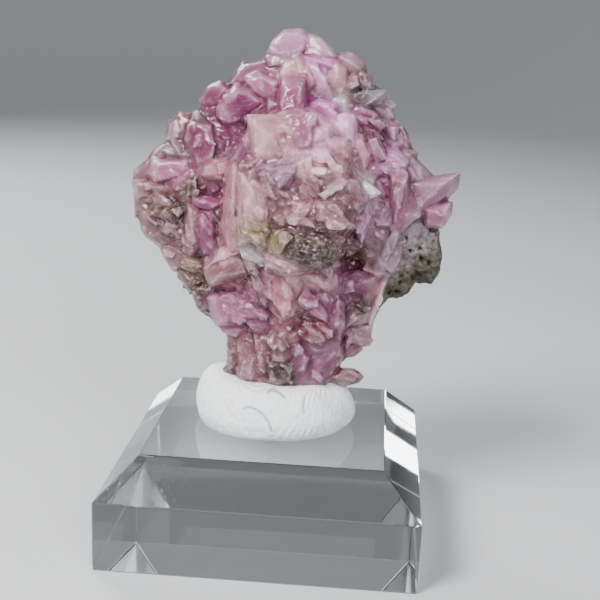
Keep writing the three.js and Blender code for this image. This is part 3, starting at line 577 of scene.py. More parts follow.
def rock_finish():
    finish = Finish("host_rock")
    vug = finish.stored("vug")
    stone = finish.noise(2.4, detail=6, roughness=0.66)
    sand = finish.noise(0.55, detail=4, roughness=0.7)
    grain = finish.cells(0.42)
    speck = finish.noise(0.24, detail=3)
    colour = finish.blend(finish.band(sand, 0.3, 0.68), tone("#564E4D"), tone("#8B8081"))
    pale = finish.band(stone, 0.5, 0.64)
    colour = finish.blend(pale * 0.4, colour, tone("#A99C9C"))
    flake = finish.band(finish.noise(0.7, detail=4, roughness=0.75), 0.58, 0.66)
    colour = finish.blend(flake * 0.6, colour, tone("#CDC3C2"))
    overgrown = GROWN_FOOT[1] + (finish.axis("X") - GROWN_FOOT[0]) * GROWN_SLOPE
    overgrown = finish.band(finish.axis("Z") - overgrown + finish.noise(1.4, detail=4) * 3, 0.6, 2.6)
    overgrown = overgrown * finish.band(finish.axis("Y"), 1.5, -0.5)
    colour = finish.blend(overgrown * 0.6, colour, tone("#A58C9C"))
    pink = finish.band(finish.noise(1.2, detail=3), 0.58, 0.66)
    colour = finish.blend(pink * 0.35, colour, tone("#A98595"))
    low = finish.axis("Z") - STAIN_FOOT[1] + STAIN_SLOPE * (STAIN_FOOT[0] - finish.axis("X"))
    low = finish.band(low + finish.noise(1.6, detail=4) * 4, 5.8, 3.0) * 0.9
    tan = finish.band(finish.noise(4.5, detail=4), 0.56, 0.7) * 0.3
    brown = finish.blend(finish.band(sand, 0.35, 0.65), tone("#2A2519"), tone("#5F5645"))
    colour = finish.blend(low.greater(tan), colour, brown)
    olive = finish.band(finish.noise(1.7, detail=5), 0.58, 0.68)
    colour = finish.blend(olive * 0.65, colour, tone("#4A4734"))
    colour = finish.blend(finish.band(speck, 0.6, 0.68) * 0.7, colour, tone("#2E2921"))
    stained = finish.blend(finish.band(sand, 0.4, 0.6), tone("#2C2618"), tone("#5B5140"))
    colour = finish.blend(finish.band(vug, 0.05, 0.4), colour, stained)
    colour = finish.blend(finish.band(vug, 0.45, 0.95), colour, tone("#17130C"))
    relief = grain * 0.4 + stone * 0.5 + sand * 0.7 + speck * 0.3
    shader = finish.add("ShaderNodeBsdfPrincipled", {}, {
        "Base Color": colour,
        "Roughness": 0.45 + 0.4 * speck,
        "Specular IOR Level": 0.45,
        "Normal": finish.bump(relief, 0.8, 0.3),
    })
    return finish.close(shader)


rock = joined("rock_matrix", [
    pillow(ROCK_OUTLINE, seam, rock_back), *(lump(sizes, i) for i, sizes in enumerate(LUMPS)),
], rock_finish())

merge = Recipe("merge_rock")
merge.apply(rock, merge.union(merge.parts()))
rebuild(rock, ROCK_GRAIN)
settle(rock)

weather = Recipe("broken_stone", Blocks="FLOAT", Grain="FLOAT", Pits="FLOAT")
where = weather.add("ShaderNodeVectorMath", {"operation": "SCALE"}, {
    0: weather.add("GeometryNodeInputPosition", {}, {}), "Scale": 1 / MM})


def rough(size, detail):
    """Uneven values of a given size, from about 0 to 1."""
    return weather.add("ShaderNodeTexNoise", {}, {
        "Vector": where, "Scale": 1 / size, "Detail": detail, "Roughness": 0.6})


def clear_of(value, low, high):
    """0 at the first limit and 1 at the second, with a smooth step between."""
    smooth = {"interpolation_type": "SMOOTHSTEP"}
    return weather.add("ShaderNodeMapRange", smooth, {0: value, 1: low, 2: high})


blocks = weather.add("ShaderNodeTexVoronoi", {"feature": "SMOOTH_F1"}, {
    "Vector": weather.add("ShaderNodeVectorMath", {}, {
        0: where, 1: weather.add("ShaderNodeTexNoise", {}, {"Vector": where, "Scale": 0.4},
                                 output=1)}),
    "Scale": 0.3, "Smoothness": 0.25})
pitted = clear_of(rough(2.6, 4.0), 0.6, 0.7)
face_on = weather.add("ShaderNodeVectorMath", {"operation": "MULTIPLY"}, {0: where, 1: (1, 0, 1)})
in_front = clear_of(weather.add("ShaderNodeSeparateXYZ", {}, {0: where}, output="Y"), 4, 2)
ragged = weather.sum_of("SUBTRACT", rough(0.8, 3.0), 0.5)
for x, z, radius in VUGS:
    centre = place(x, z, seam(x, z)) * [1, 0, 1]
    apart = weather.add("ShaderNodeVectorMath", {"operation": "DISTANCE"}, {
        0: face_on, 1: tuple(centre)}, output="Value")
    apart = weather.sum_of("ADD", apart, weather.sum_of("MULTIPLY", ragged, 3.2 * radius))
    pit = weather.sum_of("MULTIPLY", clear_of(apart, 1.25 * radius, 0.45 * radius), in_front)
    pitted = weather.sum_of("MAXIMUM", pitted, pit)
height = weather.sum_of("MULTIPLY", weather.sum_of("SUBTRACT", 0.45, blocks), weather.given["Blocks"])
grainy = weather.sum_of("SUBTRACT", rough(0.9, 3.0), 0.5)
height = weather.sum_of("ADD", height, weather.sum_of("MULTIPLY", grainy, weather.given["Grain"]))
height = weather.sum_of("SUBTRACT", height, weather.sum_of("MULTIPLY", pitted, weather.given["Pits"]))
moved = weather.add("ShaderNodeVectorMath", {"operation": "SCALE"}, {
    0: weather.add("GeometryNodeInputNormal", {}, {}), "Scale": height})
shaped = weather.add("GeometryNodeSetPosition", {}, {
    "Geometry": weather.given["Geometry"], "Offset": moved})
shaped = weather.add("GeometryNodeStoreNamedAttribute", {"data_type": "FLOAT", "domain": "POINT"}, {
    "Geometry": shaped, "Name": "vug", "Value": pitted})
weather.apply(rock, shaped, Blocks=BLOCK_DEPTH * MM, Grain=GRAIN_DEPTH * MM, Pits=PIT_DEPTH * MM)
rock.data.shade_smooth()
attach(rock, "root")
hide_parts("host_rock")

# ==== calcite crystals ====
# One crust of cobaltoan calcite, grown together on the rock: blunt, cleaved crystals up to 9 mm
# long, translucent, rose to lilac where cobalt tints them and greyish or beige where it doesn't.
# Low points have grown on them, and druses of tiny crystals fill the gritty stretches.
CRUST_OUTLINE = (
    (1, 60), (5, 59), (8.6, 58), (11.4, 54.6), (13.4, 51), (15.4, 47.6), (17.4, 45),
    (17.2, 42.2), (14.8, 39.6), (13.6, 36.4), (12.6, 33.6), (11, 30.8), (9.8, 27.5),
    (8.5, 24.6), (7.6, 21.7), (6.4, 18.8), (3, 17.6), (-1.2, 17.8), (-3.6, 19.2), (-4.4, 22.4),
    (-4.8, 26), (-7, 28.4), (-9, 31.8), (-11.2, 35), (-13.8, 37.8), (-15, 41), (-15.2, 44),
    (-13.4, 46.6), (-11, 49.6), (-9, 52), (-6.6, 54.4), (-3.4, 57.4))
TONES = {
    "frost": "#E6D8E0", "shell": "#BF7989", "blush": "#EDABD2", "peach": "#E6B1BA",
    "pale_lilac": "#AF759A", "beige_pink": "#C28D98", "orchid": "#D692A8", "lilac": "#996980",
    "bright_lilac": "#AE5194", "dusty_pink": "#AC6F7F", "mauve": "#A07E8D", "rose": "#985974",
    "grey_pink": "#88636B", "dusk": "#85575F", "heather": "#863F64", "tan": "#80684F",
    "brown_pink": "#795155", "grey_mauve": "#696263", "clay": "#694842", "plum": "#763E5B",
    "raspberry": "#723650", "maroon": "#62252F", "umber": "#45352A", "wine": "#301816",
}
# Each crystal: its tone, how far it stands off the crust, how much its main face rises towards
# +x and towards +z, and that face's corners in seen (x, z).
CROWN = (
    ("pale_lilac", 0.5, 0, -0.25, (-1.4, 59.4), (-0.8, 60.9), (0.3, 62), (2, 62.2), (3.1, 61.4), (2.7, 60),
     (0.4, 59.2)),
    ("mauve", 0.9, 0.1, -0.1, (2.4, 61.2), (3.2, 61.8), (4.4, 61.4), (5.8, 60.3), (6.2, 59.6), (4.6, 59.3),
     (2.3, 59.4)),
    ("grey_pink", 0.6, 0, -0.3, (-1.6, 59.2), (0.4, 59.8), (2.3, 60), (2.2, 58.9), (0.2, 58.3), (-1.4, 58.1)),
    ("peach", 1, 0, 0, (0.2, 58.5), (1.9, 59), (2.6, 58.3), (1.6, 57.2), (0.9, 56.2), (0, 57)),
    ("bright_lilac", 1, 0, -0.1, (2.4, 59.4), (5.4, 59.7), (6.6, 59), (7.1, 58.1), (5.6, 57.5), (4.3, 57.8),
     (3.4, 58.5)),
    ("dusty_pink", 0.9, 0.2, 0, (1.6, 57.9), (3.2, 58.2), (4, 56.6), (2.9, 54.8), (1.4, 55), (1, 56.8)),
    ("blush", 1.7, 0.3, 0.1, (3, 58.7), (4.2, 58.3), (5.5, 56.2), (5.1, 55.4), (4, 56.6)),
    ("beige_pink", 1.1, -0.2, 0, (6.3, 58.9), (7.4, 58.2), (7.6, 56.4), (7.1, 54.9), (5.5, 55.2),
     (5.2, 57.1)),
    ("mauve", 0.8, 0, 0.2, (3.8, 56), (5.6, 56.2), (6.3, 54.8), (5, 54.1), (3.3, 54.6)),
    ("plum", 0.8, 0.25, -0.2, (-5.8, 56), (-4.3, 58), (-1.6, 58.7), (-0.9, 57.4), (-1.4, 55.7), (-3.8, 55.4)),
    ("rose", 1.9, 0.2, 0.1, (-3.9, 56.6), (-2.4, 57.2), (-0.3, 56.4), (-0.1, 54.1), (-1.6, 54.3),
     (-3.2, 55.2)),
    ("heather", 2.2, -0.25, 0, (-6.9, 51.9), (-6, 51.2), (-4.8, 51.3), (-1.5, 54.2), (-3.4, 55.3),
     (-5.2, 55.6), (-6.9, 53.3)),
    ("raspberry", 0.9, 0.2, -0.2, (-9, 54), (-8.3, 55.4), (-7, 56), (-5.8, 55.7), (-5.8, 54.4), (-6.6, 53.2),
     (-8.2, 53)),
    ("heather", 1.8, 0, -0.1, (0.4, 56.4), (2.6, 56.5), (2.9, 53), (2.2, 52.3), (0.3, 52.3), (-0.1, 54)),
    ("bright_lilac", 1.6, 0.1, -0.2, (3.6, 54.2), (4.7, 54.5), (6.4, 54.1), (6.8, 52.8), (5.9, 52.2),
     (4.3, 52.5), (3.4, 53.2)),
    ("grey_pink", 0.4, -0.2, -0.3, (6.6, 59.6), (8, 60), (9.3, 59.1), (9.6, 58.1), (8.4, 57.5), (7.2, 58.2)),
    ("grey_mauve", 0.4, -0.2, -0.3, (7.2, 54.7), (8.8, 55.8), (10.8, 56.3), (12.2, 55.3), (12, 53.9),
     (10, 53.6), (8.2, 54.3)),
    ("mauve", 0.1, -0.4, -0.2, (11.3, 54.9), (12.4, 55.2), (12.6, 54), (13.3, 52.9), (12.2, 52.4),
     (11.1, 53.5)),
)
RIGHT_SHOULDER = (
    ("plum", 1.3, -0.1, -0.2, (8, 54.1), (9.6, 54.2), (11.2, 53.3), (12.1, 52), (11.4, 51.4), (9.4, 51.6),
     (8.1, 52.7)),
    ("raspberry", 0.3, 0, 0.2, (8.8, 52), (11.4, 51.7), (12.1, 50.5), (11.2, 49.4), (9.6, 49.5), (8.9, 50.7)),
    ("lilac", 0.6, -0.2, -0.1, (12, 52.3), (13.2, 52.6), (14.3, 51.2), (14.9, 49.7), (13.4, 49.1),
     (12, 49.9)),
    ("pale_lilac", 1.8, -0.1, -0.3, (11.4, 49.4), (13.8, 49.2), (15.1, 48), (14.8, 46.6), (12.6, 46.1),
     (11.2, 47.2)),
    ("mauve", 0.7, -0.3, -0.2, (15.3, 48.9), (16.7, 47.7), (18.2, 46.3), (17.4, 45.5), (15.6, 46.1),
     (14.9, 47.2)),
    ("lilac", 1.2, -0.25, 0.25, (14.7, 43.8), (15.6, 45.6), (20.6, 46.6), (20.5, 45), (18.6, 42.8),
     (16.2, 42), (15, 42.2)),
    ("rose", 0.6, -0.2, 0.1, (17.2, 42.6), (19, 43.2), (20.4, 43.4), (20.3, 42), (19.5, 40.6), (17.9, 40.8)),
    ("rose", 1.6, 0.15, 0, (13.5, 46.1), (15, 46.2), (15.3, 43.6), (14.9, 40.6), (13.9, 39.9), (13.1, 42.2)),
    ("frost", 3.2, 0.1, -0.3, (9.1, 44.2), (10.2, 45.4), (11.9, 44.2), (10.6, 43.4), (9.6, 43.5)),
    ("lilac", 0.9, 0, -0.1, (11.2, 42.3), (12.8, 42.7), (13.9, 42), (13.4, 40.4), (11.6, 40.3)),
    ("grey_pink", 0.5, 0, 0.1, (11, 40.2), (13, 40.3), (13.2, 38.8), (12.2, 37.4), (11, 38)),
    ("mauve", 1.3, 0.3, 0, (13.9, 40), (14.7, 39.8), (14.2, 38), (13.2, 35.8), (12.4, 36.2), (13, 38.2)),
    ("mauve", 0.9, -0.1, 0, (14.3, 38.8), (15.1, 38.4), (14.9, 36.2), (13.9, 34.6), (13.2, 35.2)),
    ("wine", 0.5, 0, 0.2, (11.7, 35.6), (13.1, 35.4), (13.8, 34.5), (12.9, 33.5), (11.6, 34)),
    ("pale_lilac", 3, -0.2, 0.1, (9.3, 43.2), (10.9, 43), (11.1, 40.8), (10.3, 38.6), (9.4, 40.2)),
    ("dusk", 2, -0.2, 0.1, (7.2, 45), (9.2, 45), (10.6, 43.4), (9.6, 42), (8.4, 42.2), (7.2, 43.4)),
    ("dusk", 4, 0, -0.1, (5.2, 42.3), (6.6, 42.6), (7.8, 41.6), (9.2, 40.2), (8.4, 39.9), (6.6, 40.2),
     (5.3, 40.6)),
)
MIDDLE_CLUSTER = (
    ("beige_pink", 1.2, 0, -0.1, (-3.1, 51.9), (-1, 52), (1.3, 51.6), (2.5, 48.6), (1.8, 46.6), (-1.6, 46.6),
     (-2.6, 47.6)),
    ("plum", 0.8, 0.5, -0.1, (-3.6, 50.6), (-3, 51.6), (-2.4, 49), (-2.8, 47.4), (-4.2, 46.4), (-5.3, 47.2)),
    ("dusty_pink", 0.9, 0.35, 0, (-5.2, 46.2), (-4, 46), (-4.1, 42), (-4.3, 37), (-5.6, 37), (-6.2, 39.6),
     (-5.9, 42.8)),
    ("beige_pink", 1.7, 0.1, -0.1, (-4.1, 45.5), (-2.6, 45.2), (-1.4, 43.2), (-0.6, 41.2), (-1.4, 40),
     (-4, 40.2)),
    ("tan", 1.6, 0.05, 0, (-4.1, 40.4), (-1.2, 40.3), (-0.4, 38.6), (-1.8, 37.2), (-4, 37.4)),
    ("frost", 1.5, 0, 0.1, (-4, 37.6), (-1.8, 37.4), (-0.6, 36.2), (-1.8, 35.2), (-3.6, 35.8)),
    ("lilac", 1.4, 0, 0.1, (-2.4, 46.8), (1.9, 46.4), (1.8, 44.4), (0.4, 43.8), (-1.8, 44.2), (-2.4, 45.6)),
    ("rose", 1.3, 0.1, -0.1, (1.7, 52.2), (4, 52.7), (4.2, 50.6), (3.6, 49), (2.4, 48.8), (1.5, 51)),
    ("blush", 1.2, -0.1, 0, (4.1, 51.6), (5.8, 51.6), (6.2, 50), (4.6, 48.9), (3.8, 49.6)),
    ("blush", 1.6, -0.1, -0.1, (5.6, 52.2), (7.2, 52.7), (8.4, 52.8), (8.8, 51.6), (8.6, 49.6), (7.4, 48.8),
     (6, 50)),
    ("dusty_pink", 1.1, -0.1, 0.1, (5.4, 50.2), (8.2, 50), (8.2, 48), (7, 47), (5.8, 48.6)),
    ("orchid", 0.9, -0.3, 0, (8.5, 50.6), (9.6, 50.8), (10.6, 48.6), (10.4, 47), (9, 46.4), (8.4, 48)),
    ("blush", 2.3, 0, -0.3, (3.8, 48.4), (4.8, 48.9), (5.9, 48.7), (6.3, 47.8), (5, 47.4), (3.9, 47.6)),
    ("beige_pink", 2.3, -0.3, 0, (6, 48.4), (6.7, 47.6), (7, 46.6), (8.4, 45.2), (7.6, 45), (6.2, 46.4),
     (5.8, 47.6)),
    ("peach", 1.8, 0, 0, (2.4, 47.2), (3.2, 47.9), (3.9, 47.3), (3.8, 46.3), (2.8, 46.2), (2.2, 46.6)),
    ("dusk", 1.2, 0, 0.1, (2, 46.4), (4.2, 46), (5.4, 45), (5.2, 43), (3.2, 42.6), (1.9, 44.4)),
    ("grey_pink", 2, 0, -0.2, (1.8, 40.9), (3, 41.2), (4.4, 40.3), (5, 39.6), (3.6, 39.9), (2, 40.1)),
    ("brown_pink", 1.2, 0, 0, (0, 42), (1.8, 42.2), (2, 40.4), (0.6, 39.4), (-0.6, 40.6)),
    ("umber", 1.5, 0, 0.1, (1, 40), (3.6, 39.9), (6.8, 39), (7.4, 37), (5.4, 35.2), (2, 35.6), (0.4, 37.4)),
    ("dusk", 1.9, -0.2, 0, (5.2, 39.6), (7, 39.4), (8, 38.4), (7.4, 36.6), (6, 36.8)),
    ("tan", 1.5, 0, 0, (-0.8, 38.6), (1.2, 39.2), (1.8, 37.2), (0.6, 36), (-0.8, 36.4)),
    ("peach", 1.4, 0, 0.2, (-1, 36.6), (1.4, 36.6), (2.6, 35.4), (1.4, 34.4), (-0.6, 34.8)),
    ("dusk", 1, 0, 0, (4.6, 36.4), (7, 36.6), (7.6, 35.4), (6.6, 33.8), (5.2, 34.4)),
)
LEFT_SHOULDER = (
    ("brown_pink", 0.2, 0.3, -0.3, (-13.6, 48.6), (-12, 48.8), (-11.2, 47.6), (-13.2, 46.6), (-15.2, 46.6),
     (-14.6, 47.8)),
    ("grey_pink", 0.1, 0.4, -0.1, (-15.4, 46.6), (-14.4, 46.4), (-14.8, 44.2), (-16.2, 42.4), (-17, 43.8),
     (-16.8, 45.4)),
    ("rose", 1.6, 0.1, -0.2, (-14.8, 46.6), (-10.6, 46.9), (-10, 45.6), (-12, 44.7), (-14.6, 44.1),
     (-15, 45.2)),
    ("grey_mauve", 0.6, 0, 0, (-13.2, 47.9), (-10.6, 48.4), (-9.9, 46.8), (-12.8, 46.5)),
    ("maroon", 1, 0.3, -0.1, (-13.1, 49.6), (-12.6, 51.3), (-11.6, 52.3), (-10.4, 52), (-10, 50.8),
     (-10.6, 48.6), (-12, 48.2)),
    ("raspberry", 1.7, 0.1, -0.1, (-10.6, 51), (-9.6, 51.6), (-8, 51), (-7.2, 49), (-7.4, 46.6), (-9.4, 46.2),
     (-10.9, 49.4)),
    ("grey_mauve", 1.6, 0, -0.3, (-9.9, 52.2), (-9.4, 52.5), (-8.5, 51.6), (-8.9, 50.9), (-9.9, 51.2)),
    ("dusty_pink", 2, 0.2, -0.1, (-8.6, 46.2), (-7.4, 47.2), (-5.8, 47.2), (-5, 46), (-5.6, 44.8),
     (-7.6, 44.9), (-8.8, 45.2)),
    ("dusk", 0.5, 0.1, -0.2, (-16.6, 44), (-14.6, 44.2), (-12, 44.2), (-10.8, 43.4), (-11, 42.2), (-14, 42.4),
     (-16.4, 42.2)),
    ("clay", 0.6, 0.2, 0.1, (-16.6, 42.4), (-13.6, 42.5), (-12, 41.6), (-12.4, 40), (-14.8, 39.6),
     (-16.4, 40)),
    ("wine", 0.5, -0.1, 0, (-12.4, 41.8), (-10.6, 42), (-10.2, 40), (-11.6, 38.8), (-12.8, 39.8)),
    ("brown_pink", 0.8, 0.1, -0.1, (-16, 40), (-13, 39.9), (-11, 39.2), (-10.8, 38), (-13.6, 37.8),
     (-15.6, 38.2)),
    ("brown_pink", 0.4, 0, 0.2, (-15.8, 38.4), (-13.2, 38.2), (-11.4, 37.8), (-11, 36.8), (-13.2, 36.4),
     (-15.2, 37.4)),
    ("dusk", 2, 0.25, 0, (-10.4, 41.4), (-9.4, 41.2), (-9, 38.6), (-9.2, 36.6), (-10, 35.8), (-10.9, 36.4),
     (-10.8, 38.6)),
    ("heather", 1.4, -0.15, 0, (-9.2, 40.6), (-8, 40.6), (-6.8, 38.6), (-6.6, 36.6), (-8, 35.8),
     (-9.2, 36.6)),
    ("heather", 1.1, 0, -0.2, (-9.6, 42.6), (-8, 42.7), (-6, 42.2), (-5.9, 41.4), (-8, 41), (-9.6, 41.4)),
    ("grey_pink", 0.5, 0.3, 0, (-13.9, 36.8), (-12.2, 36.8), (-10.6, 35.8), (-10.8, 34.4), (-12.2, 33.7),
     (-13.2, 35.2)),
    ("tan", 0.7, 0, -0.2, (-10.8, 35.6), (-9.2, 35.4), (-8.2, 34), (-9.6, 33.2), (-11.2, 34)),
    ("clay", 0.4, 0.3, 0.1, (-11.6, 33.8), (-9.6, 33.4), (-8.4, 32), (-9.4, 30.6), (-10.6, 31.6)),
)
BELOW_CLUSTER = (
    ("brown_pink", 2.6, 0.15, -0.25, (-8, 34.2), (-7, 35.4), (-5.4, 36.2), (-4.2, 36), (-3.2, 34.6),
     (-3.4, 33.8), (-7.4, 32.2)),
    ("orchid", 2.2, 0.3, -0.8, (-8, 34.3), (-6.6, 36), (-5, 37.2), (-3.9, 37), (-4.4, 36), (-6.6, 34.8)),
    ("shell", 0.6, 0, 0.3, (-7, 32.6), (-5.6, 32.6), (-3.4, 33.8), (-2.8, 32.6), (-3, 31.4), (-6, 31.4)),
    ("rose", 1.6, 0.15, -0.2, (-7.4, 30.4), (-5.6, 31.6), (-3, 31.4), (-0.6, 30), (-0.4, 28.6), (-4, 27.5),
     (-6.4, 27.4)),
    ("brown_pink", 2.4, 0.2, 0, (-3.5, 35.4), (-2.7, 35.6), (-0.4, 30), (-0.9, 29.6), (-1.5, 30)),
    ("rose", 1.9, 0.1, 0, (-2.6, 35.4), (-0.9, 35.2), (0.1, 33), (-0.1, 30.4), (-0.9, 30.4), (-2, 33.6)),
    ("shell", 1.8, -0.1, 0, (-0.6, 34.9), (1.4, 34.8), (2.2, 32), (2.4, 29.2), (1.2, 28.7), (-0.1, 29.8)),
    ("peach", 1.2, -0.2, 0, (1.4, 34.8), (2.9, 34.4), (3.3, 32), (3, 29.6), (2.3, 29.4), (2, 32)),
    ("beige_pink", 1.4, 0, -0.1, (3, 34.8), (4.6, 35), (6, 34), (6.4, 32.8), (5.4, 32), (3.6, 32),
     (2.9, 33.2)),
    ("lilac", 1.9, -0.1, 0, (6.3, 36.6), (6.9, 36.2), (7.7, 33.6), (7.5, 32.4), (6.7, 31.9), (6, 32.8),
     (6, 34.6)),
    ("rose", 2.4, 0, -0.1, (3, 31.2), (4.2, 31.6), (5.6, 30.8), (6.6, 29.2), (6.4, 28.4), (5, 28.9),
     (3.8, 30)),
    ("plum", 2.2, -0.1, -0.1, (6.8, 28.6), (7.2, 30.6), (7.9, 31.2), (8.5, 30.6), (8.8, 27.8), (8.2, 26),
     (6.8, 26.4)),
    ("maroon", 1.6, 0, -0.2, (1.9, 29.2), (4, 28.5), (6.7, 28.4), (7.2, 26.6), (6.4, 25.4), (4.8, 25.2),
     (3.1, 26.2)),
    ("lilac", 1.4, 0, 0.2, (3.2, 26.4), (5, 25.6), (6.9, 25.6), (8.2, 26.4), (8.4, 24), (6.6, 23), (5, 23.4),
     (3.8, 25)),
    ("plum", 0.9, 0, -0.1, (7.8, 34.2), (10, 34.5), (12.1, 34), (12.1, 32), (10, 31.4), (8, 31.9), (7.5, 33)),
    ("umber", 0.4, 0, 0, (8.9, 31.6), (11.2, 31.5), (11.9, 30.4), (11.2, 29.4), (9.1, 29.2)),
    ("peach", 0.3, -0.3, 0, (12.2, 34.4), (13.6, 34.2), (13, 32), (12.2, 29.6), (11.8, 28), (11.2, 28.6),
     (11.8, 30.6)),
    ("grey_pink", 0.8, -0.1, 0, (8.6, 28), (10.6, 28.3), (11.9, 28), (11.7, 26.6), (10.6, 25.8), (8.9, 26.2)),
    ("dusk", 0.5, -0.2, 0.2, (8.8, 26.2), (10.6, 26.1), (10.9, 25), (10, 24.2), (8.6, 24)),
)
FOOT = (
    ("dusk", 1.1, 0.2, 0, (-4, 26.4), (-2.4, 26.8), (-1.6, 25.6), (-1.9, 23), (-2.6, 21), (-3.6, 20.8),
     (-4.1, 23.6)),
    ("dusk", 1.2, 0, -0.1, (-2.3, 26.4), (-0.6, 26), (-0.3, 23.4), (-0.6, 21.4), (-2.2, 21), (-2, 23.4)),
    ("rose", 1.4, 0, 0.1, (-3.9, 21.8), (-0.3, 21.6), (-0.4, 19.9), (-2, 19.5), (-3.8, 19.4)),
    ("wine", 0.8, 0.3, 0, (-5.9, 21.2), (-5, 22.2), (-4, 21.6), (-3.8, 20), (-4.6, 19.4), (-5.6, 20.2)),
    ("clay", 0.5, 0.4, 0, (-5.4, 26.4), (-4.3, 27), (-3.7, 25), (-4, 22.4), (-4.9, 22.2), (-5.2, 24)),
    ("brown_pink", 1.2, 0, -0.1, (0, 25.6), (1.2, 26.3), (2.4, 25.4), (2.6, 23.6), (1.4, 22.7), (0.1, 23)),
    ("umber", 1.2, 0, 0.1, (-0.2, 23), (1.4, 22.9), (2.6, 22.4), (2.6, 20.4), (1, 19.9), (-0.2, 20.2)),
    ("plum", 1.1, 0, 0, (2.3, 24.8), (3.8, 25), (4.6, 23.6), (4.2, 21.8), (2.8, 21.4), (2.2, 22.8)),
    ("plum", 1.5, 0.05, 0, (5, 24.6), (6.8, 24.9), (8.2, 24.8), (7.8, 22.6), (6.6, 20.9), (5.6, 21.6),
     (5, 23)),
    ("maroon", 1.6, 0, -0.2, (6.4, 21.8), (8.2, 22.4), (10, 22.4), (11.1, 21.6), (10.6, 20.9), (9, 20.4),
     (6, 20.9)),
)
